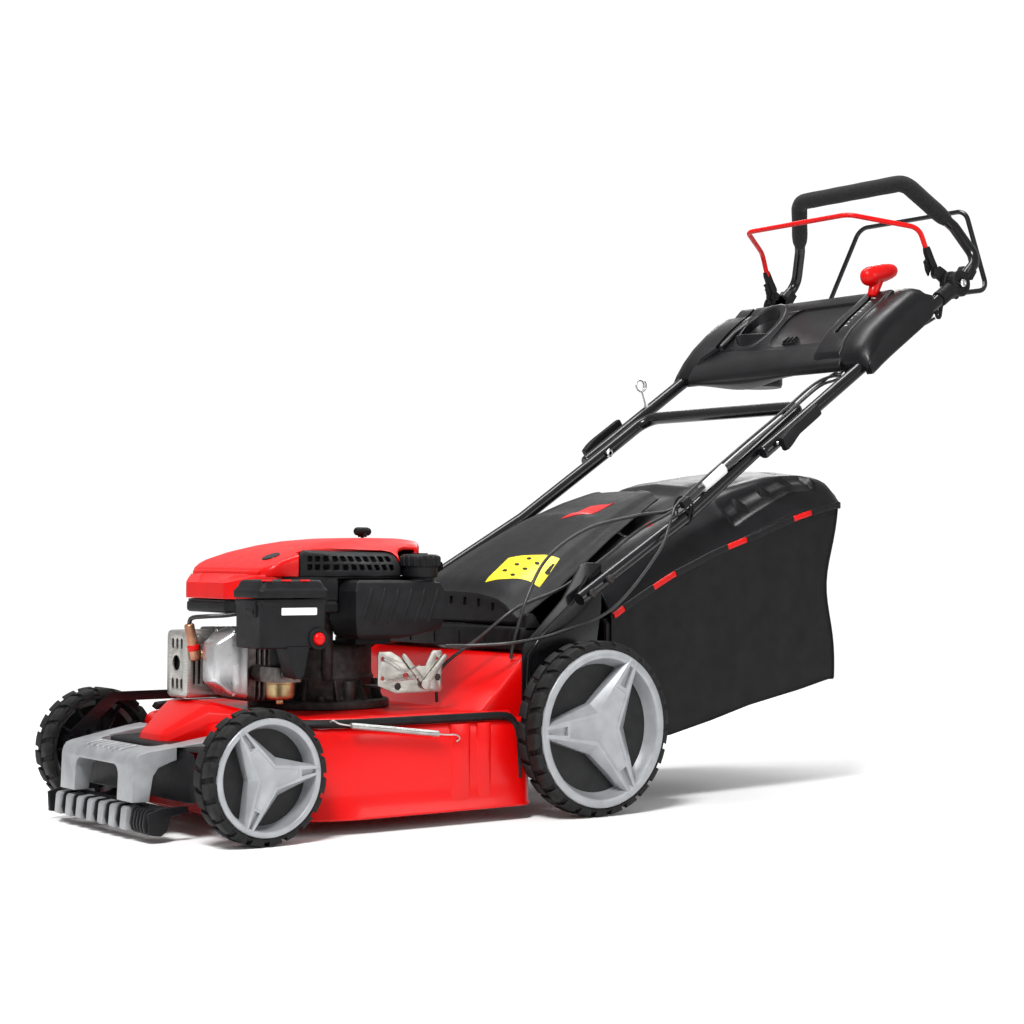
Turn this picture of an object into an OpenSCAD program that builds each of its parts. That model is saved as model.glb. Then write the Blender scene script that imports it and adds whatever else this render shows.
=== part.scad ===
// Petrol rotary lawn mower: steel deck, vertical-shaft engine, folding handle,
// central height adjustment and rear grass bag. Millimetres, +Z up, front towards -X.

/* [Wheels] */
// Distance between front and rear wheel axes
wheelbase = 554.5; // [540:0.5:570]
// Outer radius of the front tyres
front_wheel_r = 90; // [86:1:92]
// Outer radius of the rear tyres
rear_wheel_r = 129; // [125:1:130]
// Tyre width
tyre_w = 46; // [42:1:48]
// Half distance between the front wheels' outer faces
front_track_half = 268; // [266:1:270]
// Half distance between the rear wheels' outer faces
rear_track_half = 285; // [283:1:287]

/* [Deck] */
// Half width of the cutting chamber
chamber_half_w = 236; // [232:1:236]
// Height of the deck's lower edge above the ground
deck_floor_z = 20; // [18:1:24]
// Height of the engine seat
deck_top_z = 158; // [156:1:160]
// Sheet thickness of the deck
deck_t = 3; // [2:0.5:4]
// Place of the crankshaft behind the front axle
crank_x = 240; // [236:1:244]

/* [Handle] */
// Diameter of the handle tubes
tube_d = 22; // [20:1:22]
// Angle of the upper handle above the horizontal
handle_angle = 33.6; // [33:0.1:34]
// Diameter of the foam grip
foam_d = 30; // [28:1:32]
// Diameter of the bail rods
bail_d = 9; // [8:1:10]

/* [Bag] */
// Half width of the grass bag
bag_half_w = 198; // [194:1:198]
// Thickness of the bag cloth
bag_t = 3; // [2:0.5:4]

/* [Hidden] */
$fn = 96;
eps = 0.01;
running_gap = 0.05; // radial clearance of every turning fit
tube_sides = 20;
cable_sides = 8;

// Overall length runs from the comb bar to the drive bail; the origin is below its middle
front_end_x = -122;
rear_end_x = 1553;
mid_x = (front_end_x + rear_end_x) / 2;

// Height adjustment: each wheel sits on an arm behind its pivot
arm_dx = 33;
arm_dz = 23;
front_pivot = [-arm_dx, front_wheel_r - arm_dz];
rear_pivot = [wheelbase - arm_dx, rear_wheel_r - arm_dz];
pivot_shaft_d = 14;
stub_d = 12;
link_pin = [-24.5, 37.7]; // from each pivot to the link's pin
link_y = 216.2;
link_t = 3.2;

// Handle frame: origin at the clamp bolts, local x up the tube, local z out of its top side
clamp_pos = [961, 0, 566];
pivot_s = 542.6; // grip pivot along the tube
upper_y = 224;
lower_end_y = 223.4;
lower_top_y = 200;
bolt_d = 8;
grip_pivot = [1413, 866];
stop_pivot = [1385, 884];
drive_pivot = [1430, 852];
grip_corner = [1381, 130, 1055];
grip_bend = [1445, 190, 974];

flap_hinge = [490, 284];
flap_half_w = 172;
cap_pos = [334, -126, 346];
primer_pos = [121, -190, 266];
box_lo = [30, -190, 253];
box_hi = [135, -118, 321];
lever_pivot = [1262, -150, 772]; // speed lever's pivot under the console slot
throttle_pivot = [318, -163, 196];
pulley_z = 126;
pulley_h = 14;
engine_pulley_r = 24;
gear_pulley_r = 32;
gearbox_x = rear_pivot[0] - 11.5;
starter_pos = [345, 45, 412];

red = [0.85, 0.04, 0.03];
black = [0.06, 0.06, 0.065];
plastic_grey = [0.55, 0.56, 0.58];
steel = [0.62, 0.62, 0.62];
alloy = [0.42, 0.41, 0.40];

// ---- helpers ----
function unit(v) = v / norm(v);
function mirrored_y(pts) = [for (p = pts) [p[0], -p[1], p[2]]];

module place() {
    translate([-mid_x, 0, 0]) children();
}

module both_sides() {
    children();
    mirror([0, 1, 0]) children();
}

// side profile of [x, z] points, extruded across the mower from y0 to y1
module profile_y(points, y0, y1) {
    translate([0, y1, 0]) rotate([90, 0, 0]) linear_extrude(height = y1 - y0) polygon(points);
}

// round bar across the mower
module bar_y(x, z, d, y0, y1) {
    translate([x, y1, z]) rotate([90, 0, 0]) cylinder(d = d, h = y1 - y0);
}

// plan rectangle with exact round corners; the front ones are larger by front_extra
front_extra = 92;
module round_plan(x0, x1, half_w, r) {
    rf = r + front_extra;
    translate([x0 + rf, -half_w]) square([x1 - x0 - r - rf, 2 * half_w]);
    translate([x0, -half_w + rf]) square([x1 - x0 - r, 2 * half_w - 2 * rf]);
    translate([x0 + rf, -half_w + r]) square([x1 - x0 - rf, 2 * half_w - 2 * r]);
    for (side = [-1, 1]) {
        translate([x0 + rf, side * (half_w - rf)]) circle(r = rf);
        translate([x1 - r, side * (half_w - r)]) circle(r = r);
    }
}

module rod(p, q, d) {
    v = q - p;
    translate(p) rotate([0, acos(v[2] / norm(v)), atan2(v[1], v[0])]) cylinder(d = d, h = norm(v));
}

// path along straight runs, with a round bend of radius r at each inner point
function bend_points(p, before, after, r, n) =
    let (a = unit(before - p), b = unit(after - p), turn = 180 - acos(a * b),
         centre = p + unit(a + b) * (r / cos(turn / 2)),
         start = p + a * (r * tan(turn / 2)) - centre)
    [for (k = [0:n]) centre + start * cos(turn * k / n) - a * (r * sin(turn * k / n))];

function bent_path(pts, r, n = 6) = [
    pts[0],
    for (i = [1:len(pts) - 2]) each bend_points(pts[i], pts[i - 1], pts[i + 1], r, n),
    pts[len(pts) - 1]];

// bent round tube; ref is roughly square to the plane that the tube lies in
module bent_tube(pts, d, r, ref) {
    swept_tube(bent_path(pts, r), d, tube_sides, ref);
}

// smooth curve through hand-chosen points, and a tube swept along it
function spline(pts, n) = [
    for (i = [0:len(pts) - 2], j = [0:n - 1])
        let (t = j / n, p0 = pts[max(i - 1, 0)], p1 = pts[i], p2 = pts[i + 1],
             p3 = pts[min(i + 2, len(pts) - 1)])
        0.5 * (2 * p1 + (p2 - p0) * t + (2 * p0 - 5 * p1 + 4 * p2 - p3) * t * t
               + (3 * p1 - p0 - 3 * p2 + p3) * t * t * t),
    pts[len(pts) - 1]];

module swept_tube(path, d, sides, ref) {
    n = len(path);
    rings = [for (i = [0:n - 1])
        let (t = unit(path[min(i + 1, n - 1)] - path[max(i - 1, 0)]),
             u = unit(cross(t, ref)), w = cross(t, u))
        for (k = [0:sides - 1])
            path[i] + d / 2 * (u * cos(360 * k / sides) + w * sin(360 * k / sides))];
    walls = [for (i = [0:n - 2], k = [0:sides - 1])
        let (k2 = (k + 1) % sides)
        for (tri = [[i * sides + k, (i + 1) * sides + k, (i + 1) * sides + k2],
                    [i * sides + k, (i + 1) * sides + k2, i * sides + k2]]) tri];
    polyhedron(rings, concat([[for (k = [0:sides - 1]) k]], walls,
                             [[for (k = [sides - 1:-1:0]) (n - 1) * sides + k]]));
}

// places children in the upper handle's own frame
module on_handle() {
    translate(clamp_pos) rotate([0, -handle_angle, 0]) children();
}

// ---- deck and body ----
chamber_x = [12, 470];
chamber_r = 68;
riser_half_w = 205;
riser_top = [[380, deck_top_z - 2], [425, 192], [472, 236], [620, 248]];
chute_floor_z = 146;

module deck_solid(t) {
    ledge = 22;
    rear = 620 + max(t, 0);
    translate([0, 0, deck_floor_z])
        linear_extrude(height = 146 - deck_floor_z - t)
            round_plan(chamber_x[0] + t, chamber_x[1] - t, chamber_half_w - t, chamber_r - t);
    translate([0, 0, 146 - t - eps])
        linear_extrude(height = deck_top_z - 146 + eps)
            round_plan(chamber_x[0] + ledge + t, chamber_x[1] - ledge - t,
                       chamber_half_w - ledge - t, chamber_r - ledge - t);
    profile_y([[376 + t, 60], [376 + t, riser_top[0][1] - t],
               [riser_top[1][0] + t, riser_top[1][1] - t],
               [riser_top[2][0] + t, riser_top[2][1] - t], [rear, riser_top[3][1] - t], [rear, 60]],
              -riser_half_w + t, riser_half_w - t);
    translate([-58 + t, -196 + t, 48]) cube([160 - 2 * t, 392 - 2 * t, 74 - t]);
}

module deck_nose(t) {
    hull() {
        for (y = [-50, 50]) {
            translate([34, y, 148 - t]) sphere(r = 28, $fn = 32);
            translate([-20, y * 0.5, 122 - t]) sphere(r = 18, $fn = 32);
        }
        translate([70, -100, 120]) cube([20, 200, deck_top_z - 121 - t]);
    }
}

module deck() color(red) difference() {
    union() {
        difference() {
            union() {
                deck_solid(0);
                deck_nose(0);
            }
            difference() {
                deck_solid(deck_t);
                translate([480, -riser_half_w, chute_floor_z - 3]) cube([150, 2 * riser_half_w, 3]);
            }
        }
    }
    // crankshaft, engine bolts and handle bracket bolts
    translate([crank_x, 0, 100]) cylinder(r = 55, h = 90);
    for (a = engine_bolts) {
        translate([crank_x + 88 * cos(a), 88 * sin(a), 100]) cylinder(d = 9, h = 90);
    }
    // belt slot in the chamber's rear wall and room under the chute floor
    translate([440, -62, 118]) cube([60, 124, 26]);
    translate([540, -230, 40]) cube([100, 460, chute_floor_z - 3 - 40]);
    translate([600, -196, 40]) cube([60, 392, 60]);
    // shafts
    bar_y(front_pivot[0], front_pivot[1], pivot_shaft_d + 2 * running_gap, -220, 220);
    bar_y(rear_pivot[0], rear_pivot[1], pivot_shaft_d + 2 * running_gap, -230, 230);
    // cable slot in the riser
    translate([455, -190, 215]) cube([8, 16, 40]);
    for (p = bracket_bolts) bar_y(p[0], p[1], bolt_d, -230, 230);
}

bracket_bolts = [[480, 195], [560, 195]];
engine_bolts = [0, 120, 240]; // angles on the crankcase flange
tube_bolts = [[572, 327], [606, 348]];

module deck_rail() color(black) {
    // dark moulding that lies on the ledge round the upper deck
    difference() {
        translate([0, 0, 146.1]) linear_extrude(height = 11)
            round_plan(chamber_x[0] - 1, chamber_x[1] + 1, chamber_half_w + 1, chamber_r + 1);
        translate([0, 0, 140]) linear_extrude(height = 30)
            round_plan(chamber_x[0] + 9, chamber_x[1] - 9, chamber_half_w - 9, chamber_r - 9);
        translate([-20, -260, 140]) cube([90, 520, 30]);
        translate([370, -riser_half_w - 0.5, 140]) cube([120, 2 * riser_half_w + 1, 30]);
        translate([405, riser_half_w - 5, 140]) cube([85, 60, 30]);
    }
}

guard_half_w = 108;
module front_guard() color(plastic_grey) {
    difference() {
        union() {
            profile_y([[-119, 47], [-116, 108], [-110, 115], [-64, 122], [20, 134], [24, 126],
                       [-66, 100], [-84, 92], [-96, 47]], -guard_half_w - 32, guard_half_w + 32);
        }
        // front window, top window and the taper towards the front corners
        translate([-130, -66, 40]) cube([60, 132, 58]);
        translate([-78, -guard_half_w + 22, 60]) cube([120, 2 * guard_half_w - 44, 100]);
        both_sides() translate([-130, guard_half_w, 30]) rotate([0, 0, 14]) cube([180, 80, 120]);
        translate([-54, -90, 40]) cube([100, 180, 100]);
        // rests on the deck's nose
        deck_solid(0);
        deck_nose(0);
    }
    for (i = [0:6]) {
        translate([-110, -52 + i * 17, 0]) profile_y([[0, 112], [0, 117], [26, 121], [28, 116]], -4, 4);
    }
}

module comb_bar() color(black) {
    profile_y([[-106, 14], [-98, 44], [-82, 46], [-82, 40], [-92, 38], [-98, 12]], -150, 150);
    for (i = [0:14]) {
        translate([0, -147 + i * 21, 0])
            profile_y([[-122, 22], [-118, 44], [-100, 44], [-100, 12], [-116, 12]], -3.5, 3.5);
    }
    both_sides() profile_y([[-116, 12], [-118, 40], [-96, 46], [-58, 46], [-58, 38], [-84, 34],
                            [-90, 14], [-98, 9]], 149.5, 157);
}

module rear_bulkhead() color(black) {
    difference() {
        union() {
            profile_y([[473, 240], [473, 272], [480, 276], [516, 276], [516, 252], [476, 240]], -190, 190);
            both_sides() profile_y([[480, 270], [484, 296], [498, 296], [516, 270]], 176, 190);
        }
        bar_y(flap_hinge[0], flap_hinge[1], 6, -200, 200);
    }
    bar_y(flap_hinge[0], flap_hinge[1], 6, -189, 189);
}

module handle_brackets() color(black) both_sides() difference() {
    profile_y([[462, 160], [462, 246], [540, 320], [572, 372], [612, 372], [612, 300], [588, 160]],
              riser_half_w, riser_half_w + 3.6);
    for (p = concat(bracket_bolts, tube_bolts)) bar_y(p[0], p[1], bolt_d, 190, 230);
}

lower_start = [556, -lower_end_y, 317.6];
lower_knee = [783, -210, 446];
lower_clamp = [961, -lower_top_y, 566];
lower_corner = [1058, -196, 632];
module lower_handle() color(black) difference() {
    bent_tube(concat([lower_start, lower_knee, lower_clamp, lower_corner],
                     mirrored_y([lower_corner, lower_clamp, lower_knee, lower_start])),
              tube_d, 30, [-0.55, 0, 0.83]);
    for (p = concat(tube_bolts, [[clamp_pos[0], clamp_pos[2]]])) {
        bar_y(p[0], p[1], bolt_d + 2 * running_gap, -250, 250);
    }
}

module frame_bolts() color(steel) {
    both_sides() {
        for (p = bracket_bolts) bar_y(p[0], p[1], bolt_d, 198, 212);
        for (p = bracket_bolts) bar_y(p[0], p[1], 14, riser_half_w + 3.6, riser_half_w + 8.6);
        for (p = tube_bolts) {
            bar_y(p[0], p[1], bolt_d, 204, 236);
            bar_y(p[0], p[1], 13, 234.6, 240);
        }
    }
    for (a = engine_bolts) {
        translate([crank_x + 88 * cos(a), 88 * sin(a), deck_top_z - deck_t - 4]) cylinder(d = 8, h = 22);
        translate([crank_x + 88 * cos(a), 88 * sin(a), deck_top_z + 12]) cylinder(d = 13, h = 7, $fn = 6);
    }
}

// ---- engine ----
case_top_z = 252;
module crankcase() color(alloy) difference() {
    union() {
        translate([crank_x, 0, deck_top_z]) cylinder(r = 102, h = 12);
        translate([crank_x, 0, deck_top_z]) cylinder(r = 80, h = 46);
        translate([crank_x, 0, deck_top_z]) cylinder(r = 78, h = case_top_z - deck_top_z);
        for (a = [30:60:330]) {
            translate([crank_x + 84 * cos(a), 84 * sin(a), deck_top_z]) cylinder(r = 8, h = 40);
        }
        // cylinder barrel with cooling fins, and the head
        translate([88, 0, 222]) rotate([0, 90, 0]) cylinder(r = 40, h = 90);
        for (i = [0:8]) {
            translate([96 + i * 8, -58, 172]) cube([3.4, 116, 104]);
        }
        translate([74, -62, 176]) cube([20, 124, 100]);
        // pillars under the fan housing
        for (y = [-70, 70]) {
            translate([crank_x - 30, y, 200]) cylinder(r = 9, h = 98);
        }
    }
    translate([crank_x, 0, 100]) cylinder(d = 25 + 2 * running_gap, h = 300);
    translate([crank_x, 0, deck_top_z + 14]) cylinder(r = 62, h = 70);
    for (a = engine_bolts) {
        translate([crank_x + 88 * cos(a), 88 * sin(a), 100]) cylinder(d = 8, h = 72);
    }
    translate([78, 0, 222]) rotate([0, 90, 0]) cylinder(r = 32.5, h = 110);
    translate([60, -12, 238]) rotate([0, 70, 0]) cylinder(d = 12, h = 60);
}

module valve_cover() color([0.75, 0.75, 0.76]) {
    difference() {
        hull() {
            translate([70, -80, 179]) cube([4, 60, 100]);
            translate([48, -78, 184]) cube([8, 56, 88]);
            translate([28, -70, 198]) cube([6, 42, 62]);
        }
        translate([58, -72, 191]) cube([20, 44, 76]);
    }
}

module muffler() color(alloy) {
    translate([26, 0, 184]) cube([44, 54, 86]);
    translate([66, 20, 226]) rotate([0, 90, 0]) cylinder(r = 13, h = 8);
}

module muffler_guard() color([0.6, 0.6, 0.58]) difference() {
    translate([18, -4, 176]) cube([56, 62, 97]);
    translate([20, -2, 174]) cube([56, 58, 97]);
    for (i = [0:3]) {
        translate([10, 6 + i * 12, 190]) cube([20, 6, 16]);
        translate([10, 6 + i * 12, 246]) cube([20, 6, 14]);
    }
    translate([10, 27, 226]) rotate([0, 90, 0]) cylinder(r = 12, h = 20);
    for (i = [0:4]) {
        translate([30 + i * 7, -20, 196]) cube([3, 24, 56]);
    }
}

module spark_plug() color([0.75, 0.42, 0.25]) {
    translate([78, -12, 245]) rotate([0, -110, 0]) cylinder(d = 11, h = 20);
    translate([62, -12, 239]) rotate([0, -90, 0]) cylinder(d = 14, h = 36);
    translate([27, -12, 239]) rotate([0, -12, 0]) translate([0, 0, -8]) cylinder(d = 15, h = 60);
}

cover_half_w = 112;
module fan_plan(t) {
    translate([crank_x + 14, 0]) circle(r = 134 - t);
    polygon([[50 + t, -54 + t], [96, -cover_half_w + t], [240, -cover_half_w + t],
             [240, cover_half_w - t], [96, cover_half_w - t], [50 + t, 54 - t]]);
}

module blower_housing() color(black) difference() {
    union() {
        translate([0, 0, 298]) linear_extrude(height = 52) fan_plan(0);
        // grille insert in the cover's flank
        profile_y([[138, 350], [140, 380], [158, 389], [292, 384], [300, 350]], -134, -100);
    }
    difference() {
        translate([0, 0, 302]) linear_extrude(height = 100) fan_plan(5);
        profile_y([[130, 351], [130, 400], [310, 400], [310, 351]], -140, -105);
    }
    translate([crank_x, 0, 280]) cylinder(r = 60, h = 40);
    for (row = [0:1], i = [0:10]) {
        translate([150 + i * 12.6, -150, 360 + row * 11]) cube([8, 60, 8]);
    }
    for (y = [-70, 70]) {
        translate([crank_x - 30, y, 280]) cylinder(r = 9, h = 30);
    }
    tank_room();
}

// clear space for the tank beside the housing, and for its filler cap
module tank_room() {
    translate([196, -200, 250]) cube([162, 200 - 85, 98]);
    translate([cap_pos[0], cap_pos[1], 290]) cylinder(r = 40, h = 130);
}

module cover_shape(t) intersection() {
    profile_y([[48 + t, 318], [48 + t, 345 - t], [82, 353 - t], [84, 361 - t], [140, 386 - t],
               [210, 403 - t], [300, 410 - t], [362, 409 - t], [380 - t, 396 - t], [388 - t, 352],
               [376 - t, 318]], -150, 150);
    translate([0, 0, 300]) linear_extrude(height = 130) fan_plan(t - 2);
    rotate([90, 0, 90]) linear_extrude(height = 500)
        polygon([[-150, 310], [-150, 340 - t], [-118, 378 - t], [-80, 400 - t], [-40, 412 - t],
                 [40, 412 - t], [80, 400 - t], [118, 378 - t], [150, 340 - t], [150, 310]]);
}

module engine_cover() color(red) difference() {
    cover_shape(0);
    cover_shape(3.5);
    translate([0, 0, 300]) linear_extrude(height = 50.2) fan_plan(-0.2);
    profile_y([[134, 340], [136, 383], [156, 392], [296, 387], [304, 340]], -150, -95);
    tank_room();
    translate([starter_pos[0], starter_pos[1], 380]) cylinder(r = 6, h = 60);
}

module fuel_tank() color(black) difference() {
    union() {
        hull() {
            translate([200, -162, 290]) cube([154, 70, 40]);
            translate([206, -156, 268]) cube([100, 62, 74]);
            translate([212, -152, 262]) cube([70, 56, 84]);
            translate([300, -156, 274]) cube([50, 62, 68]);
        }
        translate([cap_pos[0], cap_pos[1], 340]) cylinder(d = 44, h = 24);
        for (i = [0:4]) {
            translate([222 + i * 27, -163, 275]) rotate([0, 22, 0]) cube([3, 6, 55]);
        }
        // foot that stands on the crankcase
        translate([230, -116, case_top_z]) cube([60, 56, 14]);
    }
    translate([208, -154, 272]) cube([138, 58, 60]);
    translate([cap_pos[0], cap_pos[1], 300]) cylinder(d = 36, h = 80);
}

module fuel_cap() color(black) difference() {
    union() {
        translate([cap_pos[0], cap_pos[1], 364.4]) cylinder(d = 59, h = 19);
        translate([cap_pos[0], cap_pos[1], 350]) cylinder(d = 52, h = 15);
        for (a = [0:30:330]) {
            translate([cap_pos[0] + 28 * cos(a), cap_pos[1] + 28 * sin(a), 366]) cylinder(r = 3, h = 15);
        }
    }
    translate([cap_pos[0], cap_pos[1], 340]) cylinder(d = 44 + 4 * running_gap, h = 24.3);
}

module air_filter_box() color(black) difference() {
    union() {
        translate(box_lo) cube(box_hi - box_lo);
        // snorkel, primer boss and latch
        profile_y([[70, 254], [82, 214], [90, 210], [98, 214], [108, 254]], box_lo[1], box_lo[1] + 34);
        translate([primer_pos[0], primer_pos[1] + 40, primer_pos[2]]) rotate([90, 0, 0])
            cylinder(r = 15, h = 42);
        translate([28, -176, 306]) cube([14, 40, 12]);
        // duct to the carburettor
        translate([98, -125, 226]) cylinder(r = 14, h = 30);
    }
    translate(box_lo + [4, 4, 4]) cube(box_hi - box_lo - [8, 8, 0]);
    translate([98, -125, 200]) cylinder(r = 10, h = 70);
    translate([primer_pos[0], primer_pos[1] + 20, primer_pos[2]]) rotate([90, 0, 0])
        cylinder(r = 9 + running_gap, h = 40);
    translate([primer_pos[0], primer_pos[1] + 48, primer_pos[2]]) rotate([90, 0, 0])
        cylinder(r = 5, h = 60);
}

module air_filter_element() color([0.75, 0.72, 0.6]) {
    translate(box_lo + [8, 8, 34]) cube([89, 56, 28]);
}

module air_filter_lid() color(black) difference() {
    hull() {
        translate([26, -195, 322]) cube([111, 80, 12]);
        translate([32, -189, 334]) cube([99, 68, 13]);
    }
    translate([34, -186, 320]) cube([97, 62, 20]);
}

module primer_bulb() color(red) {
    translate([primer_pos[0], primer_pos[1] + 8, primer_pos[2]]) rotate([90, 0, 0])
        cylinder(r = 9, h = 10);
    translate([primer_pos[0], primer_pos[1] - 2, primer_pos[2]]) rotate([90, 0, 0])
        cylinder(r = 7.5, h = 4);
}

module carburettor() color([0.6, 0.5, 0.3]) {
    translate([76, -150, 204]) cube([46, 46, 22]);
    translate([98, -127, 180]) cylinder(r = 20, h = 24);
    translate([98, -127, 174]) cylinder(r = 5, h = 8, $fn = 6);
    translate([98, -110, 214]) rotate([-90, 0, 0]) cylinder(r = 12, h = 48);
    translate([92, -149, 216]) rotate([90, 0, 0]) cylinder(r = 7, h = 5);
}

module governor_bracket() color([0.7, 0.68, 0.6]) difference() {
    union() {
        profile_y([[238, 196], [238, 244], [262, 244], [300, 222], [320, 222], [332, 244], [350, 244],
                   [350, 184], [268, 184]], -162, -160);
        translate([262, -160, 190]) cube([34, 81, 2]);
    }
    for (p = [[246, 234], [246, 206], [272, 194], [342, 205]]) bar_y(p[0], p[1], 6, -170, -150);
    bar_y(throttle_pivot[0], throttle_pivot[2], 6 + 2 * running_gap, -170, -150);
}

module throttle_lever() color(steel) {
    bar_y(throttle_pivot[0], throttle_pivot[2], 6, -166, -158);
    bar_y(throttle_pivot[0], throttle_pivot[2], 16, -168, -165);
    translate([throttle_pivot[0], -165, throttle_pivot[2]]) rotate([0, 42, 0])
        translate([-6, 0, 0]) cube([12, 2, 56]);
    translate([throttle_pivot[0], -165, throttle_pivot[2]]) rotate([0, -42, 0])
        translate([-5, 0, 0]) cube([10, 2, 60]);
}

// ---- crank, blade and drive ----
module crankshaft() color(steel) difference() {
    union() {
        translate([crank_x, 0, 70]) cylinder(d = 25, h = 178);
        translate([crank_x, 0, 240]) cylinder(d = 20, h = 74);
        translate([crank_x, 0, 60]) cylinder(r = 22, h = 34);
        translate([crank_x, 0, pulley_z]) cylinder(r = engine_pulley_r, h = pulley_h);
        translate([crank_x, 0, pulley_z - 3]) cylinder(r = engine_pulley_r + 8, h = 3);
        translate([crank_x, 0, pulley_z + pulley_h]) cylinder(r = engine_pulley_r + 8, h = 3);
        for (z = [186, 214]) {
            translate([crank_x, 0, z]) cylinder(r = 34, h = 10);
        }
    }
    translate([crank_x, 0, 50]) cylinder(d = 10, h = 60);
}

module flywheel() color(alloy) difference() {
    union() {
        translate([crank_x, 0, 312]) cylinder(r = 88, h = 16);
        for (a = [0:24:336]) {
            translate([crank_x, 0, 326]) rotate([0, 0, a]) translate([52, -2, 0]) cube([34, 4, 18]);
        }
        translate([crank_x, 0, 310]) cylinder(r = 24, h = 30);
    }
    translate([crank_x, 0, 300]) cylinder(d = 20, h = 14);
}

blade_r = 220;
module blade() color([0.25, 0.25, 0.27]) difference() {
    union() {
        intersection() {
            translate([crank_x - blade_r, -28, 56]) cube([2 * blade_r, 56, 4]);
            translate([crank_x, 0, 50]) cylinder(r = blade_r, h = 20);
        }
        // lift wings
        for (a = [0, 180]) {
            translate([crank_x, 0, 0]) rotate([0, 0, a]) translate([130, 14, 58]) rotate([28, 0, 0])
                cube([80, 22, 4]);
        }
    }
    translate([crank_x, 0, 40]) cylinder(d = 10, h = 30);
}

module blade_bolt() color(steel) {
    translate([crank_x, 0, 50]) cylinder(d = 10, h = 50);
    translate([crank_x, 0, 44]) cylinder(d = 18, h = 8, $fn = 6);
    translate([crank_x, 0, 52]) cylinder(d = 34, h = 4);
}

module gearbox() color([0.3, 0.3, 0.32]) difference() {
    union() {
        translate([gearbox_x - 24, -45, 84]) cube([48, 90, 36]);
        translate([gearbox_x, 0, 84]) cylinder(r = 24, h = 36);
        translate([gearbox_x - 22, 40, 100]) cube([14, riser_half_w - deck_t - 40, 8]);
    }
    bar_y(rear_pivot[0], rear_pivot[1], pivot_shaft_d + 2 * running_gap, -60, 60);
    translate([gearbox_x - 14, -24, 90]) cube([28, 48, 24]);
    translate([gearbox_x, 0, 100]) cylinder(d = 12 + 2 * running_gap, h = 30);
}

module gearbox_pulley() color(steel) {
    translate([gearbox_x, 0, pulley_z]) cylinder(r = gear_pulley_r, h = pulley_h);
    translate([gearbox_x, 0, pulley_z - 2]) cylinder(r = gear_pulley_r + 5, h = 2);
    translate([gearbox_x, 0, 115]) cylinder(d = 12, h = 14);
}

// outline of a belt round both pulleys, t outside their running surfaces
module belt_loop(t) {
    s = (gear_pulley_r - engine_pulley_r) / (gearbox_x - crank_x);
    a = acos(-s);
    b = 360 - a;
    polygon(concat(
        [for (k = [0:24]) let (q = a + (b - a) * k / 24)
            [crank_x + (engine_pulley_r + t) * cos(q), (engine_pulley_r + t) * sin(q)]],
        [for (k = [0:32]) let (q = -a + 2 * a * k / 32)
            [gearbox_x + (gear_pulley_r + t) * cos(q), (gear_pulley_r + t) * sin(q)]]));
}

module drive_belt() color(black) translate([0, 0, pulley_z + 2]) linear_extrude(height = 8)
    difference() {
        belt_loop(5.4);
        belt_loop(0.5);
    }

module drive_shaft() color(steel) bar_y(rear_pivot[0], rear_pivot[1], pivot_shaft_d, -228, 228);

module balance_spring() color(steel) {
    // closed coil with a hook wire at each end, on the deck's left flank
    rod([140, -246, 150], [285, -246, 132], 9);
    swept_tube([[113, -240, 154], [138, -246, 150], [287, -246, 132], [318, -244, 128],
                [324, -chamber_half_w - 2, 122]], 2.4, cable_sides, [0.1, 1, 0.2]);
}

// ---- wheels ----
// tread block row: a ring whose outer edge steps between two radii
module tread_row(r, depth, lugs, h, phase) {
    linear_extrude(height = h) polygon([for (i = [0:lugs - 1])
        for (s = [[0.02, r], [0.62, r], [0.70, r - depth], [0.94, r - depth]])
            let (a = 360 / lugs * (i + s[0] + phase)) [s[1] * cos(a), s[1] * sin(a)]]);
}

module tyre(r, rim_r, lugs) difference() {
    union() {
        translate([0, 0, 2]) tread_row(r, 5, lugs, 19, 0);
        translate([0, 0, tyre_w - 21]) tread_row(r, 5, lugs, 19, 0.5);
        cylinder(r = r - 6, h = tyre_w);
    }
    translate([0, 0, -1]) cylinder(r = rim_r + 0.1, h = tyre_w + 2);
}

// rim with three spokes; outer face at z = 0, inner side towards +z
module rim(rim_r, phase) difference() {
    union() {
        difference() {
            translate([0, 0, -2]) cylinder(r = rim_r, h = tyre_w + 2);
            translate([0, 0, -3]) cylinder(r = rim_r - 11, h = 17);
            translate([0, 0, 18]) cylinder(r = rim_r - 4, h = tyre_w);
        }
        for (i = [0:2]) {
            rotate([0, 0, phase + i * 120]) linear_extrude(height = 17)
                polygon([[0, -20], [18, -20], [rim_r - 7, -7], [rim_r - 7, 7], [18, 20], [0, 20]]);
        }
        cylinder(r = 17, h = tyre_w);
        for (i = [0:5]) {
            rotate([0, 0, i * 60]) translate([12, -1.5, 16]) cube([rim_r - 15, 3, tyre_w - 20]);
        }
    }
    translate([0, 0, 4]) cylinder(d = stub_d + 2 * running_gap, h = tyre_w + 10);
    for (i = [0:2]) {
        rotate([0, 0, phase + i * 120]) translate([rim_r - 30, -3, -1]) cube([17, 6, 8]);
    }
}

// a wheel's outer face is at local z = 0; side -1 is the left, +1 the right
module wheel_at(x, z, track, side) {
    translate([x, side * track, z]) rotate([side * 90, 0, 0]) children();
}

module front_tyre(side) color(black)
    wheel_at(0, front_wheel_r, front_track_half, side) tyre(front_wheel_r, 78, 20);
module front_rim(side) color(plastic_grey)
    wheel_at(0, front_wheel_r, front_track_half, side) rim(78, side * 5);
module rear_tyre(side) color(black)
    wheel_at(wheelbase, rear_wheel_r, rear_track_half, side) tyre(rear_wheel_r, 116, 26);
module rear_rim(side) color(plastic_grey)
    wheel_at(wheelbase, rear_wheel_r, rear_track_half, side) rim(116, side * 60);

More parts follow.
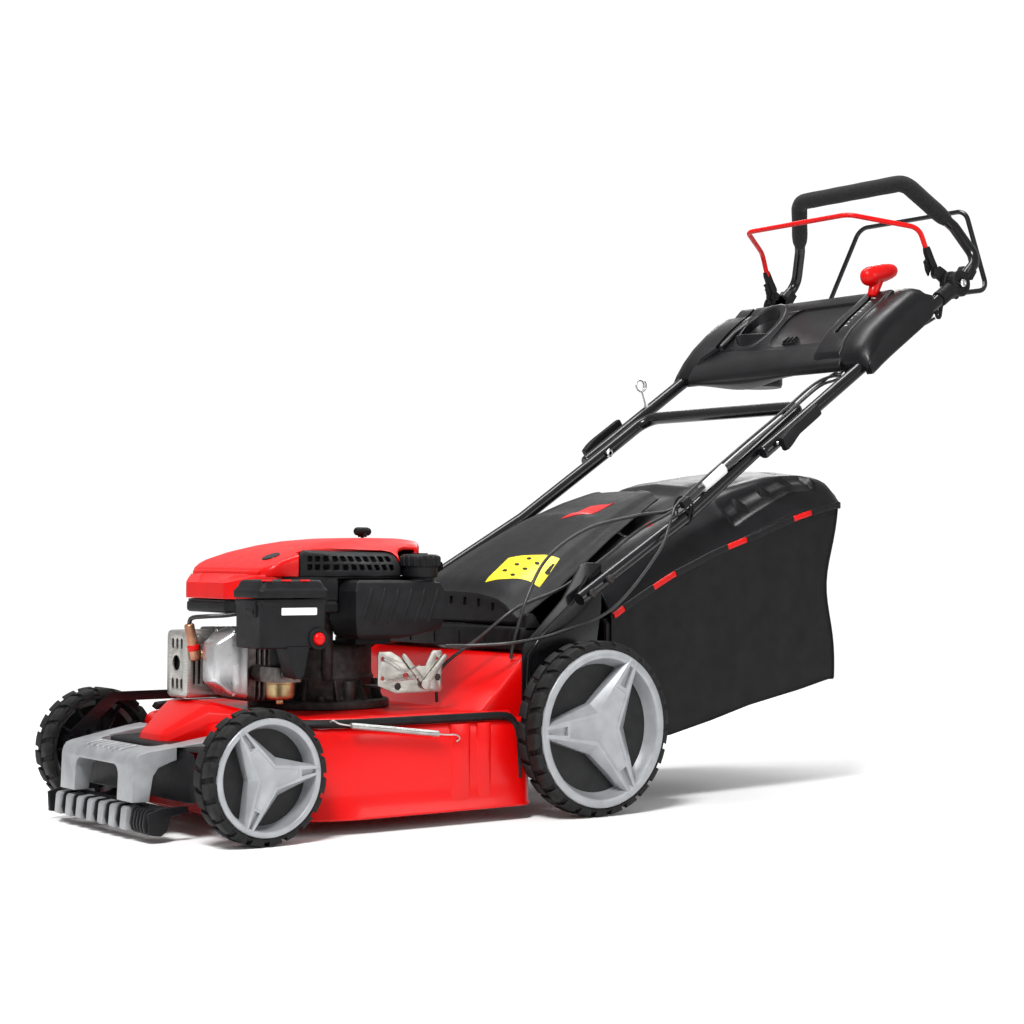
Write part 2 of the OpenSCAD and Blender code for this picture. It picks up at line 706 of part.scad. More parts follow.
arm_t = 4;
module arm_plate(pivot, wheel, y0, pin = false) {
    w = 24;
    mid = (pivot + wheel) / 2;
    a = atan2(wheel[1] - pivot[1], wheel[0] - pivot[0]);
    translate([mid[0], y0 + arm_t / 2, mid[1]]) rotate([0, -a, 0])
        cube([norm(wheel - pivot), arm_t, w - 2], center = true);
    for (p = [pivot, wheel]) bar_y(p[0], p[1], w, y0, y0 + arm_t);
    if (pin) {
        tip = pivot + link_pin;
        b = atan2(link_pin[1], link_pin[0]);
        translate([(pivot[0] + tip[0]) / 2, y0 + arm_t / 2, (pivot[1] + tip[1]) / 2]) rotate([0, -b, 0])
            cube([norm(link_pin), arm_t, 15], center = true);
        bar_y(tip[0], tip[1], 18, y0, y0 + arm_t);
    }
}

module front_axle() color(steel) {
    bar_y(front_pivot[0], front_pivot[1], pivot_shaft_d, -206, 206);
    for (side = [-1, 1]) {
        arm_plate(front_pivot, [0, front_wheel_r], side > 0 ? 202 : -206, side > 0);
    }
    both_sides() bar_y(0, front_wheel_r, stub_d, 202, front_track_half - 6);
    bar_y(front_pivot[0] + link_pin[0], front_pivot[1] + link_pin[1], 8, 203, 219.5);
}

module rear_axle() color(steel) difference() {
    union() {
        bar_y(wheelbase, rear_wheel_r, stub_d, -(rear_track_half - 6), rear_track_half - 6);
        for (side = [-1, 1]) {
            arm_plate(rear_pivot, [wheelbase, rear_wheel_r], side > 0 ? 219 : -223, side > 0);
        }
        bar_y(rear_pivot[0] + link_pin[0], rear_pivot[1] + link_pin[1], 8, 212.5, 222);
        // height lever on the right
        profile_y([[500, 138], [488, 146], [640, 330], [652, 322]], 224, 228);
        bar_y(rear_pivot[0] + link_pin[0], rear_pivot[1] + link_pin[1], 18, 219, 228);
        bar_y(646, 326, 30, 222, 232);
    }
    bar_y(rear_pivot[0], rear_pivot[1], pivot_shaft_d + 2 * running_gap, -240, 240);
}

module height_link() color(black) difference() {
    fp = front_pivot + link_pin;
    rp = rear_pivot + link_pin;
    y0 = link_y - link_t / 2;
    y1 = link_y + link_t / 2;
    union() {
        profile_y([[fp[0] - 4, fp[1] + 8], [fp[0] + 6, fp[1] - 6], [20, 160], [440, 160],
                   [rp[0], rp[1] - 9], [rp[0], rp[1] + 9], [450, 174], [8, 174]], y0, y1);
        bar_y(fp[0], fp[1], 18, y0, y1);
        bar_y(rp[0], rp[1], 18, y0, y1);
    }
    bar_y(fp[0], fp[1], 8 + 2 * running_gap, 200, 230);
    bar_y(rp[0], rp[1], 8.6, 200, 230);
}

// ---- grass bag and flap ----
// Shell over a grid of stations along x. Each station is [x, crown z, half width, edge drop];
// the section bows down towards its edges by the edge drop. t is the thickness.
crown_steps = [[-1, 1], [-0.88, 0.62], [-0.68, 0.26], [-0.4, 0.06], [0, 0],
               [0.4, 0.06], [0.68, 0.26], [0.88, 0.62], [1, 1]];
module crowned_shell(stations, t) {
    m = len(crown_steps);
    n = len(stations);
    top = [for (st = stations, c = crown_steps) [st[0], st[2] * c[0], st[1] - st[3] * c[1]]];
    under = [for (st = stations, c = crown_steps)
        [st[0], (st[2] - t) * c[0], st[1] - st[3] * c[1] - t]];
    function skin(base, flip) = [for (i = [0:n - 2], k = [0:m - 2])
        let (a = base + i * m + k, q = [a, a + 1, a + m + 1, a + m])
        each flip ? [[q[0], q[2], q[1]], [q[0], q[3], q[2]]]
                  : [[q[0], q[1], q[2]], [q[0], q[2], q[3]]]];
    function rim_strip(a, b, c, d) = [[a, b, c], [a, c, d]];
    polyhedron(concat(top, under), concat(
        skin(0, false), skin(n * m, true),
        [for (k = [0:m - 2]) each rim_strip(k + 1, k, n * m + k, n * m + k + 1)],
        [for (k = [0:m - 2])
            let (o = (n - 1) * m + k) each rim_strip(o, o + 1, n * m + o + 1, n * m + o)],
        [for (i = [0:n - 2])
            let (o = i * m) each rim_strip(o, o + m, n * m + o + m, n * m + o)],
        [for (i = [0:n - 2])
            let (o = i * m + m - 1) each rim_strip(o + m, o, n * m + o, n * m + o + m)]));
}

flap_stations = [[484, 322, 172, 36], [500, 346, 172, 48], [560, 380, 165, 48], [616, 411, 154, 44],
                 [690, 448, 136, 36], [762, 477, 116, 28], [826, 494, 98, 12]];
flap_t = 5;
module rear_flap() color(black) difference() {
    union() {
        crowned_shell(flap_stations, flap_t);
        bar_y(flap_hinge[0], flap_hinge[1], 14, -170, 170);
        profile_y([[483, 284], [483, 320], [488, 322], [494, 284]], -120, 120);
        both_sides() profile_y([[483, 284], [483, 300], [488, 300], [494, 284]], 119, 171);
    }
    bar_y(flap_hinge[0], flap_hinge[1], 6 + 2 * running_gap, -200, 200);
    for (i = [0:3]) {
        translate([478, -98 + i * 62, 296]) cube([12, 8, 20]);
    }
}

module starter_grip() color(black) {
    translate([starter_pos[0], starter_pos[1], 396]) cylinder(d = 5, h = 18);
    translate([starter_pos[0], starter_pos[1], 411]) cylinder(d = 14, h = 8);
    translate([starter_pos[0], starter_pos[1], 423]) rotate([0, 90, 25]) translate([0, 0, -19])
        cylinder(d = 13, h = 38);
}

cover_stations = [[640, 396, 198, 108], [728, 437, 198, 104], [800, 470, 198, 107], [871, 497, 198, 107],
                  [943, 515, 198, 101], [1047, 530, 198, 84], [1100, 532, 198, 76], [1132, 527, 197, 62],
                  [1146, 516, 196, 50], [1150, 499, 194, 32]];
module bag_cover() color(black) crowned_shell(cover_stations, 4);

bag_side = [[634, 262], [634, 112], [757, 96], [1132, 177], [1146, 463], [1047, 440], [899, 393], [728, 327]];
bag_inner = [[620, 254], [620, 117], [757, 100], [1128, 181], [1142, 480], [1046, 450], [897, 402], [728, 336]];
module bag_fabric() color([0.03, 0.03, 0.03]) difference() {
    profile_y(bag_side, -bag_half_w - 2, bag_half_w + 2);
    profile_y(bag_inner, -bag_half_w - 2 + bag_t, bag_half_w + 2 - bag_t);
}

// ---- upper handle ----
module upper_handle() color(black) both_sides() difference() {
    on_handle() translate([-30, -upper_y, 0]) rotate([0, 90, 0])
        cylinder(d = tube_d, h = pivot_s + 6);
    bar_y(clamp_pos[0], clamp_pos[2], bolt_d, -260, -180);
}

module clamp_bolts() color(steel) both_sides() {
    bar_y(clamp_pos[0], clamp_pos[2], bolt_d, -240, -184);
    bar_y(clamp_pos[0], clamp_pos[2], 15, -188, -184);
    bar_y(grip_pivot[0], grip_pivot[1], bolt_d, -241, -201);
    bar_y(grip_pivot[0], grip_pivot[1], 14, -241, -236.4);
}

// cam lever, closed along the tube; its pin crosses the clamp bolt
cam_y = 246;
module clamp_lever() color(black) on_handle() {
    difference() {
        hull() {
            translate([-4.2, -cam_y - 8, -11]) cube([26, 12, 22]);
            translate([84, -cam_y - 4, -7]) cube([14, 8, 14]);
        }
        translate([0, -cam_y, -14]) cylinder(d = 6, h = 28);
    }
    translate([0, -cam_y, -12]) cylinder(d = 6, h = 24);
}

// housing between the tubes, with a shroud over each tube and a cup holder
cup_pos = [1240, 92, 700];
cup_r = 38;
module console_body() on_handle() {
    // middle body
    hull() {
        translate([236, -190, 2]) cube([8, 384, 12]);
        translate([256, -190, 20]) cube([8, 384, 8]);
        translate([408, -190, 22]) cube([20, 384, 34]);
    }
    // left and right shrouds
    hull() {
        translate([242, -249, -12]) cube([190, 66, 20]);
        translate([262, -240, 12]) cube([196, 60, 20]);
        translate([300, -216, 34]) cube([140, 40, 16]);
    }
    hull() {
        translate([250, 186, -8]) cube([160, 61, 20]);
        translate([300, 176, 34]) cube([110, 44, 18]);
    }
}

module console() color(black) difference() {
    union() {
        difference() {
            console_body();
            // hollow underside, open to the rear below the tray
            on_handle() {
                hull() {
                    translate([262, -172, 4]) cube([8, 344, 8]);
                    translate([276, -172, 16]) cube([8, 344, 8]);
                    translate([404, -172, 16]) cube([20, 344, 34]);
                }
                translate([255, -172, -20]) cube([200, 344, 30]);
            }
        }
        translate(cup_pos) cylinder(r = cup_r + 4, h = 88);
        intersection() {
            console_body();
            translate(cup_pos) cylinder(r = cup_r + 4, h = 180);
        }
    }
    on_handle() both_sides() {
        // tunnels for the tubes, open downwards, and the two lever slots
        translate([200, -upper_y, 0]) rotate([0, 90, 0]) cylinder(d = tube_d + 0.2, h = 300);
        translate([200, -upper_y - tube_d / 2 - 0.1, -40]) cube([300, tube_d + 0.2, 40]);
        translate([300, -154, 10]) cube([136, 8, 80]);
    }
    translate(cup_pos + [0, 0, 4]) cylinder(r = cup_r, h = 180);
}

module speed_lever() color(red) {
    rod(lever_pivot, [1279, -150, 846], 5);
    bar_y(lever_pivot[0], lever_pivot[2], 14, -153, -147);
    rod([1279, -150, 844], [1283, -150, 858], 5);
    rod([1282, -150, 855], [1288, -150, 872], 14);
    rod([1270, -150, 864], [1320, -150, 896], 24);
}

// ---- grip section: fork-shaped ends turn on a toothed disc at the top of each tube ----
grip_pts = [[1424, -226, 874], [1468, -223, 914], [grip_bend[0], -grip_bend[1], grip_bend[2]],
            [grip_corner[0], -grip_corner[1], grip_corner[2]]];
grip_ref = [0.9, 0, 0.45];
fork_outer = [-236, -229.4]; // outer disc, across the mower
fork_inner = [-216.8, -203.3]; // inner disc, which also carries the bails
module grip_loop() color(black) difference() {
    union() {
        bent_tube(concat(grip_pts, mirrored_y([for (i = [3:-1:0]) grip_pts[i]])), 20, 24, grip_ref);
        both_sides() {
            bar_y(grip_pivot[0], grip_pivot[1], 42, fork_outer[0], fork_outer[1]);
            bar_y(grip_pivot[0], grip_pivot[1], 42, fork_inner[0], fork_inner[1]);
            // web behind the toothed disc, and the ears and pins of the two bails
            profile_y([[1428, 886], [1440, 876], [1452, 890], [1440, 900]], fork_outer[0], -205);
            profile_y([[1428, 886], [1440, 876], [1420, 862], [1410, 872]], fork_inner[0], -205);
            profile_y([[1372, 880], [1388, 896], [1420, 880], [1412, 850]], -208.3, -203.3);
            profile_y([[1420, 870], [1438, 856], [1434, 842], [1410, 850]], -208.3, -203.3);
            bar_y(stop_pivot[0], stop_pivot[1], 8, -203.8, -193);
            bar_y(drive_pivot[0], drive_pivot[1], 8, -203.8, -193);
        }
    }
    bar_y(grip_pivot[0], grip_pivot[1], bolt_d + 2 * running_gap, -250, 250);
    // room for the toothed discs
    both_sides() bar_y(grip_pivot[0], grip_pivot[1], 43, fork_outer[1], fork_inner[0]);
}

foam_start = [1437, -182.5, 984.1];
foam_end = [foam_start[0], -foam_start[1], foam_start[2]];
foam_pts = [foam_start, grip_pts[3], grip_corner, foam_end];
foam_bore_pts = [foam_start + 3 * unit(foam_start - grip_pts[3]), grip_pts[3], grip_corner,
                 foam_end + 3 * unit(foam_end - grip_corner)];
module foam_grip() color([0.08, 0.08, 0.08]) difference() {
    bent_tube(foam_pts, foam_d, 24, grip_ref);
    bent_tube(foam_bore_pts, 20.3, 24, grip_ref);
}

module pivot_joints() color(black) both_sides() difference() {
    union() {
        bar_y(grip_pivot[0], grip_pivot[1], 42, -229.1, -217.1);
        on_handle() {
            translate([pivot_s - 58, -upper_y, 0]) rotate([0, 90, 0]) cylinder(d = 29, h = 36);
            translate([pivot_s - 32, -228.5, -10]) cube([32, 10.8, 20]);
        }
        // cable anchor plate
        profile_y([[1366, 832], [1372, 806], [1382, 806], [1390, 846]], -214, -210);
    }
    bar_y(grip_pivot[0], grip_pivot[1], bolt_d, -240, -180);
    on_handle() translate([pivot_s - 70, -upper_y, 0]) rotate([0, 90, 0])
        cylinder(d = tube_d, h = 46);
}

stop_pts = [[stop_pivot[0], -198, stop_pivot[1]], [1366, -198, 916], [1347, -194, 962],
            [1241, -125, 983]];
module stop_bail() color(red) difference() {
    union() {
        bent_tube(concat([for (i = [1:3]) stop_pts[i]], mirrored_y([for (i = [3:-1:1]) stop_pts[i]])),
                  bail_d, 14, [0.4, 0, 0.9]);
        both_sides() {
            bar_y(stop_pivot[0], stop_pivot[1], 18, -203, -195);
            rod([stop_pivot[0] - 2, -198.5, stop_pivot[1] + 4], [1363, -198, 922], 8);
        }
    }
    bar_y(stop_pivot[0], stop_pivot[1], 8 + 2 * running_gap, -230, 230);
}

drive_pts = [[drive_pivot[0], -198, drive_pivot[1]], [1527, -198, 868], [1548.5, -130, 1023]];
module drive_bail() color(black) difference() {
    union() {
        bent_tube(concat(drive_pts, mirrored_y([for (i = [2:-1:0]) drive_pts[i]])), bail_d, 18,
                  [0.8, 0, -0.6]);
        both_sides() bar_y(drive_pivot[0], drive_pivot[1], 18, -203, -195);
    }
    bar_y(drive_pivot[0], drive_pivot[1], 8 + 2 * running_gap, -230, 230);
}

// ---- control cables ----
cable_d = 5;
// point beside the upper tube: s along it, y across the mower, n above it
function along(s, y, n) = clamp_pos + [s * cos(handle_angle) - n * sin(handle_angle), y,
                                       s * sin(handle_angle) + n * cos(handle_angle)];
stop_route = [along(484, -206, -22), along(462, -190, -24), along(425, -166, -12), along(300, -166, -8),
              along(250, -172, -8), along(215, -190, 8), along(150, -203, 17), along(60, -206, 17),
              along(-60, -206, 18), [774, -204, 462], [700, -190, 446], [610, -177, 424], [530, -181, 380],
              [486, -188, 322], [464, -187, 262], [459, -183, 230]];
drive_route = [along(480, -204, -32), along(458, -182, -34), along(425, -159, -14), along(300, -159, -8),
               along(248, -166, -14), along(212, -190, -2), along(150, -213, 19), along(60, -213, 19),
               along(-60, -213, 19), [771, -213, 463], [700, -196, 424], [640, -190, 384],
               [560, -184, 336], [500, -178, 314], [466, -172, 298], [430, -148, 262],
               [384, -112, 214], [380, -106, 164]];
throttle_route = [along(356, -170, -16), along(300, -168, -17), along(245, -176, -20), along(212, -196, 6),
                  along(150, -209, 26), along(60, -209, 26), along(-60, -209, 27), [768, -216, 471],
                  [735, -230, 442], [700, -238, 388], [610, -238, 304], [520, -218, 268],
                  [450, -216, 256], [416, -196, 252], [384, -170, 250], [356, -161, 250]];

module control_cables() color(black) {
    for (route = [stop_route, drive_route, throttle_route]) {
        swept_tube(spline(route, 2), cable_d, cable_sides, [0.1, 1, 0.2]);
    }
}

place() deck();
place() deck_rail();
place() front_guard();
place() comb_bar();
place() rear_bulkhead();
place() handle_brackets();
place() lower_handle();
place() frame_bolts();
place() crankcase();
place() valve_cover();
place() muffler();
place() muffler_guard();
place() spark_plug();
place() blower_housing();
place() engine_cover();
place() fuel_tank();
place() air_filter_box();
place() air_filter_element();
place() carburettor();
place() governor_bracket();
place() gearbox();
place() drive_belt();
place() balance_spring();
place() control_cables();
place() front_tyre(-1);  // front_left_tyre
place() front_rim(-1);  // front_left_rim
place() front_tyre(1);  // front_right_tyre
place() front_rim(1);  // front_right_rim
place() rear_tyre(-1);  // rear_left_tyre
place() rear_rim(-1);  // rear_left_rim
place() rear_tyre(1);  // rear_right_tyre
place() rear_rim(1);  // rear_right_rim
place() front_axle();
place() rear_axle();
place() height_link();
place() crankshaft();
place() flywheel();
place() blade();
place() blade_bolt();
place() gearbox_pulley();
place() drive_shaft();
place() starter_grip();
place() rear_flap();
place() bag_cover();
place() bag_fabric();
place() upper_handle();
place() console();
place() clamp_bolts();
place() clamp_lever();  // clamp_lever_left
place() mirror([0, 1, 0]) clamp_lever();  // clamp_lever_right
place() grip_loop();
place() foam_grip();
place() pivot_joints();
place() stop_bail();
place() drive_bail();
place() speed_lever();
place() throttle_lever();
place() fuel_cap();
place() air_filter_lid();
place() primer_bulb();
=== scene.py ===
import math

import bmesh
import bpy
from mathutils import Matrix, Vector, noise


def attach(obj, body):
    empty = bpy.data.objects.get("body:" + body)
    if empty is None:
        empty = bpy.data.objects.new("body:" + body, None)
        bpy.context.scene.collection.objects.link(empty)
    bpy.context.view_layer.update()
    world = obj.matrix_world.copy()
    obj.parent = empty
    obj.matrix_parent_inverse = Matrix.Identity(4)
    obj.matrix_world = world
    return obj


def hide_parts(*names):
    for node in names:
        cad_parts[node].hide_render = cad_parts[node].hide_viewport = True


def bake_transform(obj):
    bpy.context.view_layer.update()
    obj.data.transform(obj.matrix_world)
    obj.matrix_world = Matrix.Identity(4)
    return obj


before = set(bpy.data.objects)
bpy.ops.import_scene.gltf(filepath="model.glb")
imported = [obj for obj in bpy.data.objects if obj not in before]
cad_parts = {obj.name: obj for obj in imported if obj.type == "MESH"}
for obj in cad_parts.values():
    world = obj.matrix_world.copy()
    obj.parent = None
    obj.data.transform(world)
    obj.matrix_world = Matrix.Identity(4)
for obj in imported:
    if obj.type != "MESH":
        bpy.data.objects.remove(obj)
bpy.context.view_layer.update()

# All shapes below are in millimetres in the mower's own layout: x from the front axle towards the
# rear, y across (the left side is negative), z above the ground. MID_X moves them to the row frame.
MID_X = 715.5
# slope of the upper handle, and the points that the handle and the grip turn about
HANDLE = math.radians(33.6)
CLAMP_X, CLAMP_Z = 961, 566
GRIP_X, GRIP_Z = 1413, 866


def V(*p):
    return Vector(p)


def on_tube(s, y, n):
    """A point beside the upper handle tube: s along it from the clamp bolts, n above it."""
    return V(CLAMP_X + s * math.cos(HANDLE) - n * math.sin(HANDLE), y,
             CLAMP_Z + s * math.sin(HANDLE) + n * math.cos(HANDLE))


# ---- materials ----
def mat(name, base, rough=0.5, metal=0.0, vary=0.12, vary_scale=60.0, bump=0.15, bump_scale=900.0,
        rough_vary=0.1, coat=0.0, sheen=0.0, spec=0.5, streak=None, weave=0.0, wear=0.0, wear_colour=None):
    """Procedural surface: noise in colour and roughness, fine bump, and optional weave or edge wear."""
    m = bpy.data.materials.new(name)
    m.use_nodes = True
    tree = m.node_tree
    bsdf = tree.nodes["Principled BSDF"]
    link = tree.links.new
    coord = tree.nodes.new("ShaderNodeTexCoord")
    mapping = tree.nodes.new("ShaderNodeMapping")
    mapping.inputs["Scale"].default_value = streak or (1, 1, 1)
    link(coord.outputs["Object"], mapping.inputs["Vector"])

    def noise_node(scale, detail=4.0, source=mapping):
        n = tree.nodes.new("ShaderNodeTexNoise")
        n.inputs["Scale"].default_value = scale
        n.inputs["Detail"].default_value = detail
        link(source.outputs[0] if source is mapping else source.outputs["Object"], n.inputs["Vector"])
        return n

    tone = noise_node(vary_scale)
    ramp = tree.nodes.new("ShaderNodeValToRGB")
    low = [max(c * (1 - vary), 0) for c in base]
    high = [min(c * (1 + vary), 1) for c in base]
    ramp.color_ramp.elements[0].position = 0.35
    ramp.color_ramp.elements[0].color = (*low, 1)
    ramp.color_ramp.elements[1].position = 0.65
    ramp.color_ramp.elements[1].color = (*high, 1)
    link(tone.outputs["Fac"], ramp.inputs["Fac"])
    colour = ramp.outputs["Color"]
    if wear:
        geo = tree.nodes.new("ShaderNodeNewGeometry")
        edge = tree.nodes.new("ShaderNodeMapRange")
        edge.inputs["From Min"].default_value = 0.52
        edge.inputs["From Max"].default_value = 0.62
        edge.inputs["To Max"].default_value = wear
        link(geo.outputs["Pointiness"], edge.inputs["Value"])
        mix = tree.nodes.new("ShaderNodeMix")
        mix.data_type = "RGBA"
        mix.inputs["B"].default_value = (*(wear_colour or high), 1)
        link(edge.outputs["Result"], mix.inputs["Factor"])
        link(colour, mix.inputs["A"])
        colour = mix.outputs["Result"]
    link(colour, bsdf.inputs["Base Color"])
    spread = tree.nodes.new("ShaderNodeMapRange")
    spread.inputs["To Min"].default_value = max(rough - rough_vary, 0.02)
    spread.inputs["To Max"].default_value = min(rough + rough_vary, 1)
    link(noise_node(vary_scale * 2.3).outputs["Fac"], spread.inputs["Value"])
    link(spread.outputs["Result"], bsdf.inputs["Roughness"])
    height = noise_node(bump_scale, 2.0).outputs["Fac"]
    if weave:
        waves = []
        for axis in ("X", "Z"):
            w = tree.nodes.new("ShaderNodeTexWave")
            w.bands_direction = axis
            w.inputs["Scale"].default_value = weave
            w.inputs["Distortion"].default_value = 0.6
            link(coord.outputs["Object"], w.inputs["Vector"])
            waves.append(w.outputs["Fac"])
        cross = tree.nodes.new("ShaderNodeMath")
        cross.operation = "MAXIMUM"
        link(waves[0], cross.inputs[0])
        link(waves[1], cross.inputs[1])
        height = cross.outputs[0]
    bump_node = tree.nodes.new("ShaderNodeBump")
    bump_node.inputs["Strength"].default_value = bump
    bump_node.inputs["Distance"].default_value = 0.0006
    link(height, bump_node.inputs["Height"])
    link(bump_node.outputs["Normal"], bsdf.inputs["Normal"])
    bsdf.inputs["Metallic"].default_value = metal
    bsdf.inputs["Specular IOR Level"].default_value = spec
    bsdf.inputs["Coat Weight"].default_value = coat
    bsdf.inputs["Coat Roughness"].default_value = 0.08
    bsdf.inputs["Sheen Weight"].default_value = sheen
    return m


RED_PAINT = mat("red_paint", (0.6, 0.001, 0.001), 0.3, vary=0.05, vary_scale=9, bump=0.05, bump_scale=260,
                rough_vary=0.05, coat=0.12, spec=0.2)
RED_PLASTIC = mat("red_plastic", (0.58, 0.001, 0.001), 0.36, vary=0.06, vary_scale=30, bump=0.08,
                  bump_scale=1400, coat=0.06, spec=0.22)
BLACK_PAINT = mat("black_paint", (0.005, 0.005, 0.006), 0.22, vary=0.25, vary_scale=25, bump=0.06,
                  bump_scale=500, rough_vary=0.06, coat=0.15, spec=0.3)
BLACK_PLASTIC = mat("black_plastic", (0.007, 0.007, 0.008), 0.46, vary=0.25, vary_scale=35, bump=0.25,
                    bump_scale=2600, spec=0.16)
SATIN_PLASTIC = mat("satin_black_plastic", (0.006, 0.006, 0.007), 0.34, vary=0.2, vary_scale=20, bump=0.1,
                    bump_scale=1500, coat=0.03, spec=0.2)
GREY_PLASTIC = mat("grey_plastic", (0.3, 0.31, 0.325), 0.36, metal=0.35, vary=0.08, vary_scale=45,
                   bump=0.12, bump_scale=1800)
GUARD_PLASTIC = mat("guard_plastic", (0.27, 0.275, 0.285), 0.42, metal=0.3, vary=0.14, vary_scale=30,
                    bump=0.2, bump_scale=1600)
DARK_GREY = mat("dark_grey_plastic", (0.012, 0.0122, 0.0128), 0.5, vary=0.2, vary_scale=50, bump=0.2,
                bump_scale=1600, spec=0.2)
TYRE = mat("tyre_rubber", (0.009, 0.009, 0.009), 0.62, vary=0.35, vary_scale=90, bump=0.35, bump_scale=1500,
           wear=0.5, wear_colour=(0.035, 0.035, 0.034), spec=0.14)
STEEL = mat("zinc_steel", (0.5, 0.5, 0.49), 0.3, metal=1.0, vary=0.12, vary_scale=70, bump=0.12,
            bump_scale=700)
YELLOW_ZINC = mat("passivated_steel", (0.4, 0.385, 0.35), 0.38, metal=0.9, vary=0.18, vary_scale=45,
                  bump=0.15, bump_scale=800)
BRUSHED = mat("brushed_steel", (0.52, 0.51, 0.48), 0.36, metal=0.95, vary=0.14, vary_scale=60, bump=0.25,
              bump_scale=500, streak=(1, 1, 12))
CHROME = mat("chrome", (0.75, 0.75, 0.75), 0.12, metal=1.0, vary=0.05, vary_scale=30, bump=0.03)
CAST_ALLOY = mat("cast_alloy", (0.17, 0.16, 0.15), 0.5, metal=0.8, vary=0.3, vary_scale=120, bump=0.55,
                 bump_scale=1100)
ALLOY_BRIGHT = mat("valve_cover_alloy", (0.56, 0.56, 0.57), 0.3, metal=0.9, vary=0.1, vary_scale=40,
                   bump=0.15, bump_scale=900)
CAST_IRON = mat("cast_iron", (0.035, 0.031, 0.029), 0.6, metal=0.6, vary=0.35, vary_scale=110, bump=0.6,
                bump_scale=900)
BRASS = mat("brass_zinc", (0.42, 0.33, 0.17), 0.35, metal=0.9, vary=0.2, vary_scale=60, bump=0.2)
COPPER = mat("heat_tinted_steel", (0.42, 0.2, 0.12), 0.35, metal=0.85, vary=0.3, vary_scale=50, bump=0.15)
RUBBER = mat("cable_rubber", (0.012, 0.012, 0.012), 0.35, vary=0.2, vary_scale=60, bump=0.1, bump_scale=900)
FOAM = mat("foam_rubber", (0.01, 0.01, 0.01), 0.86, vary=0.3, vary_scale=260, bump=0.5, bump_scale=2400,
           sheen=0.08, spec=0.2)
CLOTH = mat("bag_cloth", (0.0045, 0.0045, 0.005), 0.55, vary=0.3, vary_scale=30, bump=0.3, weave=190.0,
            sheen=0.02, spec=0.16)
FILTER = mat("filter_foam", (0.5, 0.45, 0.3), 0.9, vary=0.2, vary_scale=200, bump=0.5, bump_scale=2000)
YELLOW = mat("yellow_label", (0.86, 0.66, 0.0), 0.4, vary=0.05, vary_scale=80, bump=0.04)
WHITE = mat("white_print", (0.72, 0.72, 0.72), 0.5, vary=0.06, bump=0.05)
BLADE_STEEL = mat("blade_steel", (0.05, 0.05, 0.055), 0.4, metal=0.6, vary=0.2, vary_scale=60, bump=0.2)
# the record's material slots, with the materials listed under each
SLOT_MATERIALS = {
    "red_paint": (RED_PAINT,),
    "black_plastic": (BLACK_PLASTIC, SATIN_PLASTIC),
    "grey_plastic": (GUARD_PLASTIC, WHITE, GREY_PLASTIC),
    "red_plastic": (RED_PLASTIC,),
    "cast_iron": (CAST_IRON,),
    "alloy": (CAST_ALLOY, ALLOY_BRIGHT),
    "steel": (STEEL, BRUSHED, YELLOW_ZINC, CHROME),
    "rubber": (RUBBER,),
    "black_paint": (BLACK_PAINT,),
    "foam": (FOAM,),
    "cloth": (CLOTH,),
    "tyre": (TYRE,),
}
SLOT_OF = {m.name: slot for slot, group in SLOT_MATERIALS.items() for m in group}



